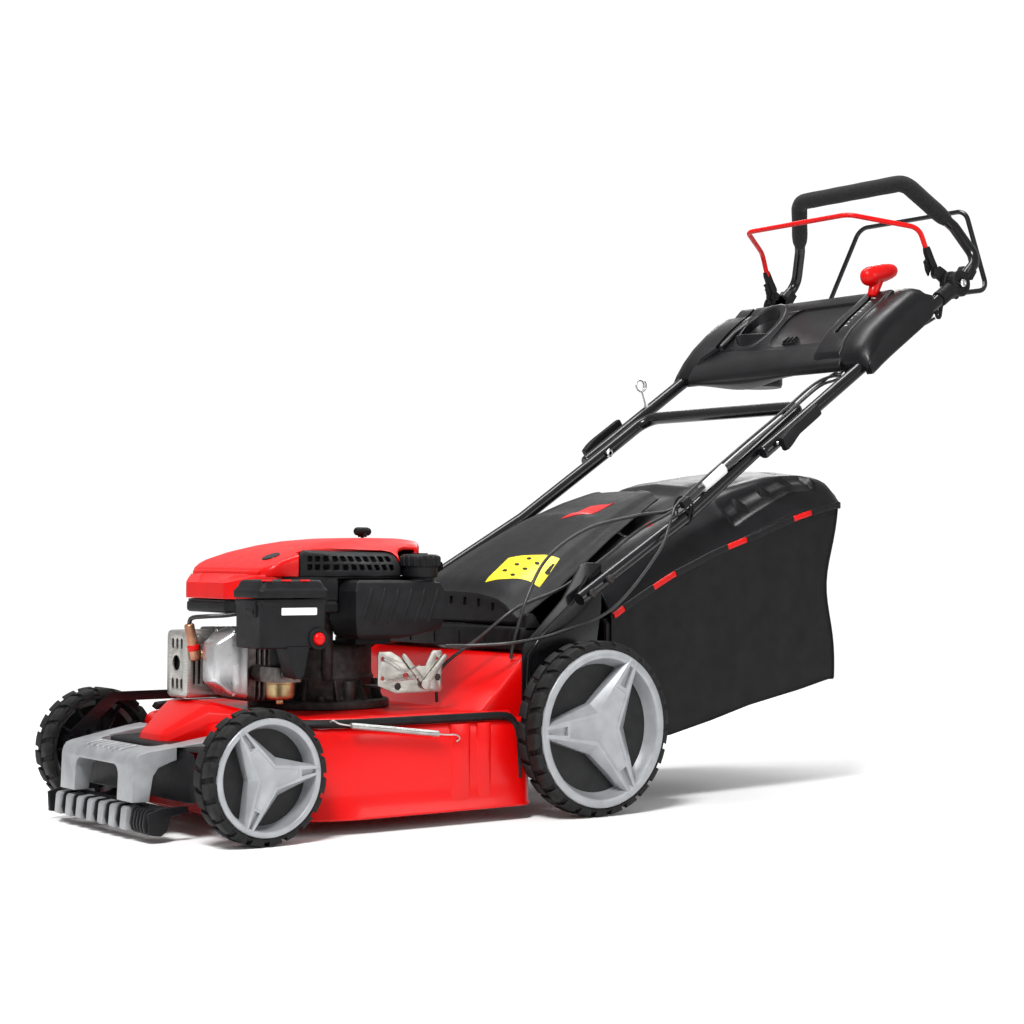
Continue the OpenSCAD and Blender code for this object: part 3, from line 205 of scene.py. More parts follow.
# ---- mesh helpers, all in millimetres ----
class Shape:
    """A mesh being built; faces added after use(k) take the piece's k-th material."""

    def __init__(self):
        self.bm = bmesh.new()
        self.k = 0

    def use(self, k):
        self.k = k
        return self

    def face(self, verts):
        try:
            f = self.bm.faces.new(verts)
            f.material_index = self.k
            return f
        except ValueError:
            return None

    def rings(self, rings, caps=True, closed=True, loop=False):
        """Skin between point rings of the same length."""
        rows = [[self.bm.verts.new(p) for p in ring] for ring in rings]
        n = len(rows[0])
        pairs = list(zip(rows, rows[1:])) + ([(rows[-1], rows[0])] if loop else [])
        for a, b in pairs:
            for i in range(n if closed else n - 1):
                j = (i + 1) % n
                self.face((a[i], a[j], b[j], b[i]))
        if caps and not loop:
            self.face(list(reversed(rows[0])))
            self.face(rows[-1])
        return rows

    def prism(self, outline, to_3d, a, b):
        """Outline of 2-D points extruded from a to b; to_3d(u, v, w) places a point."""
        self.rings([[to_3d(u, v, w) for u, v in outline] for w in (a, b)])
        return self

    def prism_x(self, outline, x0, x1):
        return self.prism(outline, lambda u, v, w: V(w, u, v), x0, x1)

    def prism_y(self, outline, y0, y1):
        return self.prism(outline, lambda u, v, w: V(u, w, v), y0, y1)

    def prism_z(self, outline, z0, z1):
        return self.prism(outline, lambda u, v, w: V(u, v, w), z0, z1)

    def box(self, lo, hi):
        return self.prism_z([(lo[0], lo[1]), (hi[0], lo[1]), (hi[0], hi[1]), (lo[0], hi[1])], lo[2], hi[2])

    def lathe(self, profile, origin, axis=(0, 1, 0), steps=48, loop=False, ref=None):
        """Turns a profile of (radius, distance along axis) round the axis."""
        axis = Vector(axis).normalized()
        u = Vector(ref).normalized() if ref else axis.orthogonal().normalized()
        w = axis.cross(u)
        rows = []
        for r, d in profile:
            c = Vector(origin) + axis * d
            rows.append([c + (u * math.cos(t) + w * math.sin(t)) * max(r, 0.001)
                         for t in (2 * math.pi * i / steps for i in range(steps))])
        self.rings(rows, caps=not loop, loop=loop)
        return self

    def rod(self, p, q, d, steps=24, chamfer=0.0):
        p, q = Vector(p), Vector(q)
        h = (q - p).length
        r = d / 2
        prof = [(r - chamfer, 0), (r, chamfer), (r, h - chamfer),
                (r - chamfer, h)] if chamfer else [(r, 0), (r, h)]
        return self.lathe(prof, p, q - p, steps)

    def sweep(self, path, section, up=(0, 0, 1), scale=None):
        """Sweeps a 2-D section (side, up) along a path; up is kept as near as it can be."""
        rows = []
        n = len(path)
        for i, p in enumerate(path):
            t = (path[min(i + 1, n - 1)] - path[max(i - 1, 0)]).normalized()
            side = t.cross(Vector(up)).normalized()
            top = side.cross(t)
            k = scale[i] if scale else 1
            rows.append([p + side * (a * k) + top * (b * k) for a, b in section])
        self.rings(rows)
        return self

    def tube(self, path, d, sides=20, up=(0.1, 0.2, 1), scale=None):
        section = [(d / 2 * math.cos(2 * math.pi * i / sides), d / 2 * math.sin(2 * math.pi * i / sides))
                   for i in range(sides)]
        return self.sweep(path, section, up, scale=scale)

    def hull(self, points):
        verts = [self.bm.verts.new(p) for p in points]
        made = bmesh.ops.convex_hull(self.bm, input=verts)
        for g in made["geom"]:
            if isinstance(g, bmesh.types.BMFace):
                g.material_index = self.k
        spare = [v for v in made["geom_interior"] if isinstance(v, bmesh.types.BMVert)]
        bmesh.ops.delete(self.bm, geom=spare, context="VERTS")
        return self


def bent(points, radius=20.0, steps=7):
    """A path with round bends at its inner points."""
    pts = [Vector(p) for p in points]
    out = [pts[0]]
    for i in range(1, len(pts) - 1):
        p, a, b = pts[i], (pts[i - 1] - pts[i]).normalized(), (pts[i + 1] - pts[i]).normalized()
        turn = math.pi - a.angle(b)
        if turn < 0.02:
            out.append(p)
            continue
        reach = min(radius * math.tan(turn / 2), (pts[i - 1] - p).length * 0.49,
                    (pts[i + 1] - p).length * 0.49)
        r = reach / math.tan(turn / 2)
        centre = p + (a + b).normalized() * (r / math.cos(turn / 2))
        start = p + a * reach - centre
        for k in range(steps + 1):
            q = turn * k / steps
            out.append(centre + start * math.cos(q) - a * (r * math.sin(q)))
    out.append(pts[-1])
    return out


def spline(points, n=6):
    """A smooth curve through the points."""
    pts = [Vector(p) for p in points]
    out = []
    for i in range(len(pts) - 1):
        p0, p1, p2, p3 = pts[max(i - 1, 0)], pts[i], pts[i + 1], pts[min(i + 2, len(pts) - 1)]
        for j in range(n):
            t = j / n
            out.append(0.5 * (2 * p1 + (p2 - p0) * t + (2 * p0 - 5 * p1 + 4 * p2 - p3) * t * t
                              + (3 * p1 - p0 - 3 * p2 + p3) * t ** 3))
    out.append(pts[-1])
    return out


def lerp_table(table, x):
    """Reads a table of (x, values...) rows at x, between rows in a straight line."""
    if x <= table[0][0]:
        return table[0][1:]
    for a, b in zip(table, table[1:]):
        if x <= b[0]:
            t = (x - a[0]) / (b[0] - a[0])
            return tuple(p + (q - p) * t for p, q in zip(a[1:], b[1:]))
    return table[-1][1:]


def round_rect(x0, x1, y0, y1, radii, steps=6):
    """Rounded rectangle, counter-clockwise from its x1,y0 corner; radii: one, or x1y0, x1y1, x0y1, x0y0."""
    if not isinstance(radii, tuple):
        radii = (radii,) * 4
    corners = [(x1, y0, 1, -1), (x1, y1, 1, 1), (x0, y1, -1, 1), (x0, y0, -1, -1)]
    out = []
    for (cx, cy, sx, sy), r, start in zip(corners, radii, (-90, 0, 90, 180)):
        for k in range(steps + 1):
            a = math.radians(start + 90 * k / steps)
            out.append((cx - sx * r + r * math.cos(a), cy - sy * r + r * math.sin(a)))
    return out


def circle(cx, cy, r, steps=24):
    return [(cx + r * math.cos(2 * math.pi * i / steps), cy + r * math.sin(2 * math.pi * i / steps))
            for i in range(steps)]


def make(name, shape, mats, body, replaces=(), bevel=None, cuts=(), smooth=38, solidify=None,
         slot=None, angle=35, merge=False):
    """Turns a Shape into a finished piece that rides on a body."""
    mesh = bpy.data.meshes.new(name)
    bmesh.ops.recalc_face_normals(shape.bm, faces=shape.bm.faces)
    if merge:
        bmesh.ops.remove_doubles(shape.bm, verts=shape.bm.verts, dist=0.05)
    shape.bm.to_mesh(mesh)
    obj = bpy.data.objects.new(name, mesh)
    bpy.context.scene.collection.objects.link(obj)
    for m in mats:
        mesh.materials.append(m)
    spare = []
    for cut in cuts:
        other = bpy.data.meshes.new(name + "_cut")
        bmesh.ops.recalc_face_normals(cut.bm, faces=cut.bm.faces)
        cut.bm.to_mesh(other)
        cut.bm.free()
        tool = bpy.data.objects.new(name + "_cut", other)
        bpy.context.scene.collection.objects.link(tool)
        spare.append(tool)
        b = obj.modifiers.new("cut", "BOOLEAN")
        b.operation = "DIFFERENCE"
        b.solver = "EXACT"
        b.object = tool
    if solidify:
        s = obj.modifiers.new("wall", "SOLIDIFY")
        s.thickness, s.offset = solidify
    if bevel:
        b = obj.modifiers.new("edges", "BEVEL")
        b.width, b.segments = bevel
        b.limit_method = "ANGLE"
        b.angle_limit = math.radians(angle)
        b.harden_normals = False
    if obj.modifiers:
        graph = bpy.context.evaluated_depsgraph_get()
        done = bpy.data.meshes.new_from_object(obj.evaluated_get(graph))
        obj.modifiers.clear()
        obj.data = done
        for tool in spare:
            bpy.data.objects.remove(tool)
    obj.data.transform(Matrix.Translation((-MID_X / 1000, 0, 0)) @ Matrix.Scale(0.001, 4))
    obj.data.shade_smooth()
    obj.data.set_sharp_from_angle(angle=math.radians(smooth))
    shape.bm.free()
    if body:
        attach(obj, body)
    if replaces:
        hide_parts(*replaces)
    slot = slot or SLOT_OF.get(mats[0].name)
    return obj


def mirrored(points):
    return [V(p[0], -p[1], p[2]) for p in points]


# ---- wheels ----
WHEEL_DISC = 19  # how deep the flat of the rim lies behind the outer face


def wheel_space(cx, cz, track, side):
    """Point makers round a hub: the outer face is at w = 0, and w grows inwards.

    side is -1 for the left wheels and +1 for the right ones.
    """
    def at(u, v, w):
        return V(cx + u, side * (track - w), cz + v)

    def polar(rad, a, w):
        return at(rad * math.cos(a), rad * math.sin(a), w)

    def turned(shape, profile, steps=96, loop=True):
        shape.rings([[polar(rad, 2 * math.pi * i / steps, w) for i in range(steps)] for rad, w in profile],
                    caps=not loop, loop=loop)

    return at, polar, turned


def wheel_tyre(prefix, body, space, r, rim_r, lugs):
    polar, turned = space[1:]
    tyre = Shape()
    turned(tyre, [(rim_r + 0.4, 2), (rim_r + 2, 0.8), (rim_r + 5, 0.6), (r - 9, 1.8), (r - 6, 3.4),
                  (r - 4.6, 8), (r - 4.2, 23), (r - 4.6, 38), (r - 6, 42.6), (r - 9, 44.2),
                  (rim_r + 5, 45.4), (rim_r + 2, 45.2), (rim_r + 0.4, 44)], steps=144)
    lug_section = [(r - 13.5, 1.5), (r - 12.5, 0.4), (r - 4, 0.7), (r - 1.2, 2.6), (r - 0.3, 6),
                   (r - 0.3, 19.6), (r - 1.2, 20.8), (r - 6, 21), (r - 7, 4)]
    pitch = 2 * math.pi / lugs
    for row in range(2):
        for i in range(lugs):
            a0 = (i + 0.5 * row + 0.02) * pitch
            rows = []
            for s in (0, 0.5, 1):
                ring = []
                for rad, w in lug_section:
                    slant = 0.16 * pitch * (w / 21)
                    shoulder = max(0, (r - 3 - rad) / 10) * 0.1 * pitch
                    a = a0 + slant + shoulder + (0.74 * pitch - 2 * shoulder) * s
                    ring.append(polar(rad, a, w if row == 0 else 46 - w))
                rows.append(ring)
            tyre.rings(rows)
    make(prefix + "_tyre_tread", tyre, [TYRE], body, [prefix + "_tyre"], bevel=(0.7, 2), smooth=45,
         angle=40)


def wheel_rim(prefix, body, space, rim_r, k):
    at, _, turned = space
    deep = WHEEL_DISC
    rim = Shape()
    turned(rim, [(rim_r, deep + 5), (rim_r, 0.2), (rim_r - 0.6, -1.2), (rim_r - 1.8, -1.8),
                 (rim_r - 7 * k - 2, -1.9), (rim_r - 10.5 * k, -1.7), (rim_r - 12.5 * k, -0.6),
                 (rim_r - 14 * k, 2.4), (rim_r - 16 * k, 8), (rim_r - 18.5 * k, 14),
                 (rim_r - 21.5 * k, deep), (rim_r - 23 * k, deep + 3), (rim_r - 8, deep + 5)], steps=120)
    rim.use(1)
    turned(rim, [(rim_r, 44.6), (rim_r, deep + 5.2), (rim_r - 8, deep + 5.2), (rim_r - 4.2, deep + 8),
                 (rim_r - 4.2, 44.6)], steps=120)
    turned(rim, [(rim_r - 20 * k, deep - 0.2), (10, deep - 0.2), (10, deep + 3),
                 (rim_r - 20 * k, deep + 3)])
    turned(rim, [(17, deep), (17, 42), (15, 43.5), (6.2, 43.5), (6.2, deep)], steps=40)
    for i in range(12):
        a = i * math.pi / 6
        c, s = math.cos(a), math.sin(a)
        rim.rings([[at(rad * c - side_w * s, rad * s + side_w * c, w)
                    for rad, w in ((15, 40), (15, deep + 2), (rim_r - 5, deep + 2), (rim_r - 5, 34),
                                   (40 * k, 38))] for side_w in (-1.3, 1.3)])
    make(prefix + "_rim_ring", rim, [GREY_PLASTIC, DARK_GREY], body, [prefix + "_rim"], smooth=32,
         bevel=(0.35, 1))


# faceted three-pointed spoke cover: plateau, sloping flanks and a slot near each tip
def wheel_cover(prefix, body, space, phase, k):
    at, polar = space[:2]
    star = Shape()
    top, base = [], []
    for i in range(3):
        a = math.radians(phase + 120 * i)
        for rad, off in ((108 * k, -8.2 * k), (113 * k, -8.2 * k), (113 * k, 8.2 * k), (108 * k, 8.2 * k)):
            ang = a + math.atan2(off, rad)
            top.append((math.hypot(rad, off), ang, -2.6))
            base.append((math.hypot(rad, off * 1.12), a + math.atan2(off * 1.12, rad), 1.5))
        mid = a + math.pi / 3
        top.append((27 * k, mid, -2.6))
        base.append((43 * k, mid, 7.5))
    star.rings([[polar(*p) for p in top], [polar(*p) for p in base],
                [polar(p[0], p[1], WHEEL_DISC) for p in base]])
    cuts = []
    for i in range(3):
        a = math.radians(phase + 120 * i)
        c, s = math.cos(a), math.sin(a)
        slot = Shape()
        slot.rings([[at(u * c - v * s, u * s + v * c, w) for u, v in
                     ((70 * k, -6.6 * k), (111 * k, -3.1 * k), (111 * k, 3.1 * k), (70 * k, 6.6 * k))]
                    for w in (-6, 3.4)])
        cuts.append(slot)
    field = Shape()
    inner = []
    for i in range(3):
        a = math.radians(phase + 120 * i)
        for off in (-9.5 * k, 9.5 * k):
            inner.append((math.hypot(64 * k, off), a + math.atan2(off, 64 * k)))
        inner.append((21 * k, a + math.pi / 3))
    field.rings([[polar(rad, a, w) for rad, a in inner] for w in (-6, -1.5)])
    cuts.append(field)
    make(prefix + "_star_cover", star, [GREY_PLASTIC], body, [prefix + "_rim"], bevel=(0.6, 2), cuts=cuts,
         smooth=25, angle=18)


def wheel(prefix, cx, cz, track, side, r, rim_r, lugs, phase, body):
    space = wheel_space(cx, cz, track, side)
    k = rim_r / 116  # the rim was drawn at the rear wheel's size
    wheel_tyre(prefix, body, space, r, rim_r, lugs)
    wheel_rim(prefix, body, space, rim_r, k)
    wheel_cover(prefix, body, space, phase, k)


FRONT_R, REAR_R = 90, 129


def build_wheels():
    for side, word in ((-1, "left"), (1, "right")):
        wheel(f"front_{word}", 0, FRONT_R, 268, side, FRONT_R, 78, 20, 5, f"front_{word}_wheel")
        wheel(f"rear_{word}", 554.5, REAR_R, 285, side, REAR_R, 116, 26, 60, f"rear_{word}_wheel")


# ---- deck ----
def plan(x0, x1, half_w, rf, rr, steps=10):
    """Outline in plan, with front corners of radius rf and rear corners of radius rr."""
    return round_rect(x0, x1, -half_w, half_w, (rr, rr, rf, rf), steps)


def deck_plan(inset):
    return plan(12 + inset, 470 - inset, 236 - inset, 160 - inset, max(34 - inset, 4))


def build_deck_shell():
    deck = Shape()
    levels = [(19.9, -0.6), (21.5, -1.6), (24, -1.2), (27, 0.4), (60, 0.2), (118, 0.8), (136, 2.2),
              (142.5, 4.2), (145.6, 8), (146.4, 14), (146.8, 20), (148.5, 23.4), (152.5, 25), (155.6, 27),
              (157.4, 31), (157.9, 40)]
    deck.rings([[V(x, y, z) for x, y in deck_plan(t)] for z, t in levels])
    hole = Shape().prism_z(circle(240, 0, 55, 48), 100, 190)
    under = Shape()
    under.rings([[V(x, y, z) for x, y in deck_plan(t)]
                 for z, t in ((10, 1.6), (24, 1.6), (27, 3), (136, 5), (143, 9), (144, 26), (154.8, 30))])
    make("deck_shell", deck, [RED_PAINT], "chassis", ["deck"], cuts=[hole, under], bevel=(0.6, 2),
         smooth=50)


# arched housing behind the engine, with a rolled top edge and a pressed arch on each flank
def build_riser_housing():
    riser = Shape()
    arch = [(376, 120), (376, 156), (392, 160), (425, 191), (446, 212), (462, 228), (474, 235.5),
            (490, 237.5), (618, 248), (618, 120)]
    rows = []
    for y, inset in ((-205.4, 5), (-204, 1.6), (-201, 0), (201, 0), (204, 1.6), (205.4, 5)):
        rows.append([V(x if x in (376, 618) else x + inset * 0.35, y, z - (inset if z > 130 else 0))
                     for x, z in arch])
    riser.rings(rows)
    chute = Shape().box((484, -190, 100), (640, 190, 232))
    chute2 = Shape().box((400, -196, 100), (500, 196, 150))
    make("riser_housing", riser, [RED_PAINT], "chassis", ["deck"], cuts=[chute, chute2], bevel=(2.4, 3),
         smooth=45)


def build_deck_pressed_flutes():
    swell = Shape()
    for x0, w0, h0 in ((330, 17, 1.0), (372, 12, 0.7)):
        rows = []
        for z, t in ((30, 0.0), (60, 0.8), (100, 1), (128, 0.9), (143, 0.0)):
            rows.append([V(x0 + w0 * math.cos(a), -235.2 - 3.6 * h0 * t * math.sin(a), z)
                         for a in (math.pi * i / 12 for i in range(13))])
        swell.rings(rows, closed=False, caps=False)
    make("deck_pressed_flutes", swell, [RED_PAINT], "chassis", ["deck"], smooth=60)


# rounded nose over the front axle
def build_deck_nose_lobe():
    nose = Shape()
    points = []
    for cy in (-50, 50):
        for cx, f, cz, r in ((34, 1, 146.5, 28), (-20, 0.5, 121, 18)):
            for i in range(14):
                for j in range(7):
                    a, b = 2 * math.pi * i / 14, math.pi * (j / 6 - 0.5)
                    points.append(V(cx + r * math.cos(a) * math.cos(b),
                                    cy * f + r * math.sin(a) * math.cos(b), cz + r * math.sin(b)))
    for x in (70, 96):
        points += [V(x, y, z) for y in (-98, 98) for z in (122, 156.5)]
    nose.hull(points)
    make("deck_nose_lobe", nose, [RED_PAINT], "chassis", ["deck"], bevel=(3, 3), smooth=60, angle=14)


def build_front_fairing():
    fairing = Shape()
    fairing.rings([[V(x, y, z) for x, y in round_rect(-57 + t, 104, -195 + t, 195 - t, (4, 4, 46, 46),
                                                      8)] for z, t in ((48.5, 3), (51, 0.5), (100, 0),
                                                                       (114, 2), (120, 7), (122, 16))])
    make("front_fairing", fairing, [BLACK_PLASTIC], "chassis", ["deck"], smooth=45, bevel=(0.5, 1),
         cuts=[Shape().box((-53, -190, 30), (140, 190, 117)),
               Shape().rod(V(-33, -230, 67), V(-33, 230, 67), 15)])


# dark moulding on the ledge round the engine deck, turning down in front of the rear wheels
def build_deck_ledge_moulding():
    rail = Shape()
    outline = plan(12.6, 469.4, 235.8, 159.4, 67.4, 12)
    section = [(-4.4, -4.8), (4.6, -4.8), (5.2, -3), (4.8, 3.4), (3.2, 5.2), (-2.6, 5.4), (-4.6, 3.8)]
    for sy in (-1, 1):
        half = [V(x, y, 151.6) for x, y in outline
                if 70 <= x <= 401 and y * sy > 150] + [V(396, sy * 235.8, 151.6)]
        half.sort(key=lambda p: p.x)
        inner = [V(p.x, p.y - sy * 4.2, p.z) for p in half]
        down = [V(x, sy * 231.6, z) for x, z in ((412, 150.6), (421, 148), (427, 143), (431, 135),
                                                 (434, 120), (437, 60))]
        rail.sweep(inner + down, [(-sy * a, b) for a, b in section], up=(0.25, sy * -0.6, 1))
    make("deck_ledge_moulding", rail, [BLACK_PLASTIC], "chassis", ["deck_rail"], bevel=(0.7, 2), smooth=40)


# ---- front guard, comb and bulkhead ----
def build_front_guard_frame():
    guard = Shape()
    face = [(-118.6, 50), (-116.6, 100), (-114, 108), (-109.6, 113.4), (-100, 116.4), (-64, 121.6),
            (19, 133.4), (22, 127), (-66, 103), (-84, 95), (-91, 84), (-96, 50)]
    guard.prism_y(face, -139, 139)
    cuts = []
    for sy in (-1, 1):
        taper = Shape()
        a = math.radians(14)
        corner = [(-130, 108), (-130 + 200 * math.cos(a), 108 + 200 * math.sin(a)), (60, 230), (-180, 230),
                  (-180, 108)]
        taper.prism_z([(x, sy * y) for x, y in corner], 30, 150)
        cuts.append(taper)
    window = round_rect(-66, 66, 30, 97, (5, 15, 15, 5), 5)
    cuts.append(Shape().prism_x(window, -135, -70))
    hood = round_rect(-76, 60, -84, 84, (8, 8, 18, 18), 5)
    cuts.append(Shape().prism_z(hood, 60, 160))
    cuts.append(Shape().box((-54, -92, 40), (60, 92, 150)))
    cuts.append(Shape().box((-60, -197, 30), (-30, -106, 121)))
    cuts.append(Shape().box((-60, 106, 30), (-30, 197, 121)))
    make("front_guard_frame", guard, [GUARD_PLASTIC], "chassis", ["front_guard"], bevel=(2.2, 3),
         cuts=cuts, smooth=40)


def build_front_guard_grip_ribs():
    ribs = Shape()
    for i in range(7):
        y = -52 + i * 17
        ribs.prism_y(((-111.5, 110), (-110.5, 115.4), (-107, 117.8), (-84, 121.3), (-81.5, 119),
                      (-82, 115)), y - 4.2, y + 4.2)
    make("front_guard_grip_ribs", ribs, [GUARD_PLASTIC], "chassis", ["front_guard"], bevel=(1.4, 2),
         smooth=40)


def build_comb_bar_teeth():
    comb = Shape()
    comb.prism_y([(-106, 14), (-100, 43), (-96, 45.6), (-84, 45.6), (-82, 43), (-82, 40), (-91, 38),
                  (-97, 12)], -150, 150)
    for i in range(11):
        y = (-112 - i * 9) if i < 5 else (-105 + (i - 4) * 34)
        comb.prism_y(((-121.6, 24), (-118.6, 41), (-115, 44.4), (-100, 45), (-99, 12), (-114, 11.6),
                      (-119, 15)), y - 2.6, y + 2.6)
    for sy in (-1, 1):
        comb.prism_y(((-116, 12), (-118, 40), (-96, 46), (-58, 46), (-58, 38), (-84, 34), (-90, 14),
                      (-98, 9)), sy * 149.5, sy * 156.5)
    make("comb_bar_teeth", comb, [BLACK_PLASTIC], "chassis", ["comb_bar"], bevel=(1.1, 2), smooth=40)


def build_comb_bar_faces():
    pads = Shape()
    for i in range(7):
        y = -98.5 + 34 * i
        pads.prism_y(((-122.6, 15), (-120.4, 40.5), (-117.5, 43.5), (-100, 44.8), (-100, 13),
                      (-120, 12.6)), y, y + 16)
    make("comb_bar_faces", pads, [GUARD_PLASTIC], "chassis", ["comb_bar"], bevel=(0.8, 2), smooth=40)


def build_rear_bulkhead_moulding():
    bulk = Shape()
    bulk.prism_y([(473, 242), (472.6, 270), (475, 274.6), (480, 276), (514, 276), (516, 273), (516, 254),
                  (500, 246)], -190, 190)
    for sy in (-1, 1):
        bulk.prism_y(((480, 270), (483, 292), (487, 296), (495, 296), (500, 292), (515, 270)), sy * 176.5,
                     sy * 190)
    bulk.rod(V(490, -189, 284), V(490, 189, 284), 6)
    for i in range(6):
        y = -165 + i * 66
        bulk.prism_y(((471.6, 246), (471.2, 268), (475, 268), (475, 246)), y - 1.5, y + 1.5)
    make("rear_bulkhead_moulding", bulk, [BLACK_PLASTIC], "chassis", ["rear_bulkhead"], bevel=(1.3, 2),
         smooth=40)


# ---- engine ----
CRANK_X = 240
STARTER = (345, 45)
FILLER = (334, -126)
PRIMER = (121, 0, 266)
BOWL = (98, -127, 0)
crown_profile = [(48, 336), (84, 361), (110, 374), (140, 386), (175, 396), (210, 403), (255, 408),
                 (300, 410), (350, 409.5), (366, 406), (378, 397), (384, 380), (388, 366)]


crown_section = [(0, 412), (40, 411.5), (62, 408), (80, 401), (100, 391), (118, 378), (134, 361),
                 (150, 340)]


def soft_min(a, b, k=5.0):
    return min(a, b) - k * math.log(1 + math.exp(-abs(a - b) / k))


def dome_z(x, y):
    return soft_min(lerp_table(crown_profile, x)[0], lerp_table(crown_section, abs(y))[0])


def fan_outline(x0, grow=0.0):
    """Plan of the engine's top, from its front edge at x0 round both flanks."""
    right = []
    for k in range(9):
        right.append((x0 - grow, 8 + (96 if x0 > 60 else 54) * k / 9))
    side = 112 + grow
    if x0 < 60:
        right += [(54 - grow, 63), (66 - grow, 80), (80 - grow, 98)]
    right += [(88 - grow * 0.5, 106), (96, side - 1.4), (108, side), (130, side), (155, side), (178, side)]
    a0 = math.acos((178 - 254) / 134)
    for k in range(1, 33):
        a = a0 * (1 - k / 32)
        right.append((254 + (134 + grow) * math.cos(a), (134 + grow) * math.sin(a)))
    return [(x0 - grow, 0)] + right + [(x, -y) for x, y in reversed(right[:-1])]


def tank_room():
    return [Shape().box((196, -200, 240), (358, -85, 348)),
            Shape().prism_z(circle(*FILLER, 33, 64), 290, 430)]


def build_engine_cover_dome():
    top = Shape()
    outline = fan_outline(84, 2)
    centre = (225, 0)
    rings = [[V(x, y, 350.8) for x, y in outline]]
    for s, drop in ((1.0, 7.5), (0.997, 3.6), (0.989, 1.3), (0.975, 0.2), (0.95, 0), (0.9, 0), (0.84, 0),
                    (0.77, 0), (0.69, 0), (0.6, 0), (0.5, 0), (0.4, 0), (0.3, 0), (0.2, 0), (0.1, 0),
                    (0.02, 0)):
        ring = []
        for x, y in outline:
            px, py = centre[0] + (x - centre[0]) * s, centre[1] + (y - centre[1]) * s
            ring.append(V(px, py, max(dome_z(px, py) - drop, 351.4)))
        rings.append(ring)
    top.rings(rings)
    flank = [(134, 340), (135, 376), (139, 384), (147, 389.5), (158, 392), (285, 388.5), (296, 386),
             (301, 379), (304, 340)]
    inside = Shape()
    inside.rings([[V(centre[0] + (x - centre[0]) * s, y * s,
                     max(dome_z(centre[0] + (x - centre[0]) * s, y * s) - 4, 348) if k else 340)
                   for x, y in outline]
                  for k, s in enumerate((0.97, 0.97, 0.93, 0.85, 0.7, 0.5, 0.25, 0.02))])
    spindle = Shape().prism_z(circle(*STARTER, 8, 32), 370, 440)
    make("engine_cover_dome", top, [RED_PLASTIC], "chassis", ["engine_cover"], smooth=50, bevel=(0.8, 2),
         angle=50, cuts=[inside, Shape().prism_y(flank, -160, -97), *tank_room(), spindle])


NOSE_X = 59


def build_engine_cover_nose():
    lip = Shape()
    nose_plan = fan_outline(50, 1.5)
    front_part = [(x, y) for x, y in nose_plan if x < 100]
    front_part.sort(key=lambda p: p[1])
    nose_ring = front_part + [(118, 108), (118, -108)]
    lip.rings([[V(NOSE_X + (x - NOSE_X) * s, y * s,
                  min(z, 341 + 9 * min(max((x - 48) / 30, 0), 1) + 4 * min(max((x - 60) / 30, 0), 1)))
                for x, y in nose_ring] for s, z in ((1, 318.4), (1.004, 322), (1.004, 332), (1.002, 341),
                                                    (1, 348), (0.985, 353), (0.5, 354))])
    make("engine_cover_nose", lip, [RED_PLASTIC], "chassis", ["engine_cover"], smooth=50, bevel=(1.0, 2))


def build_engine_cover_step():
    strip = Shape()
    strip.rings([[V(x, y, z) for x, z in ((79, 352.2), (79, 356.8), (81.5, 359), (90, 360.5), (90, 352))]
                 for y in (-94, -60, 0, 60, 94)])
    make("engine_cover_step", strip, [RED_PLASTIC], "chassis", ["engine_cover"], smooth=40, bevel=(1.2, 2))


def build_engine_cover_badge_blank():
    oval = Shape()
    rows = []
    for s in (1.0, 0.97, 0.6, 0.05):
        rows.append([V(121 + 12 * s * math.cos(a), -60 + 15 * s * math.sin(a),
                       dome_z(121 + 12 * s * math.cos(a),
                              -60 + 15 * s * math.sin(a)) + (0.1 if s == 1 else 1.2))
                     for a in (2 * math.pi * i / 40 for i in range(40))])
    oval.rings(rows)
    make("engine_cover_badge_blank", oval, [SATIN_PLASTIC], "chassis", ["engine_cover"], smooth=60)


# fan housing under the cover, and the slotted plate in the cover's flank
def build_fan_housing():
    fan = Shape()
    body_line = fan_outline(50, 0)
    levels = ((298.4, 3), (300.5, 0.6), (303, 0), (312, 0), (313.5, 1.6), (316, 1.6), (317.5, 0), (344, 0),
              (346, 1.0), (350.2, 1.0))
    fan.rings([[V(224 + (x - 224) * (1 - t / 140), y * (1 - t / 120), z) for x, y in body_line]
               for z, t in levels])
    cavity = Shape()
    cavity.rings([[V(224 + (x - 224) * 0.955, y * 0.95, z) for x, y in body_line] for z in (303, 360)])
    make("fan_housing", fan, [BLACK_PLASTIC], "chassis", ["blower_housing"], bevel=(0.7, 2), smooth=45,
         cuts=[cavity, Shape().box((20, -140, 316.6), (112, 140, 380)),
               Shape().prism_z(circle(CRANK_X, 0, 60, 64), 280, 320), *tank_room(),
               Shape().prism_z(circle(210, 70, 9.2, 24), 280, 310),
               Shape().prism_z(circle(210, -70, 9.2, 24), 280, 310)])


def flank_y(x, z):
    outline_y = 112 if x < 178 else math.sqrt(max(136 ** 2 - (x - 254) ** 2, 0))
    crown_y = lerp_table([(338, 150), (361, 133), (378, 117), (391, 99), (401, 80)], z)[0]
    return -soft_min(outline_y, crown_y, 2.5) + 1.4


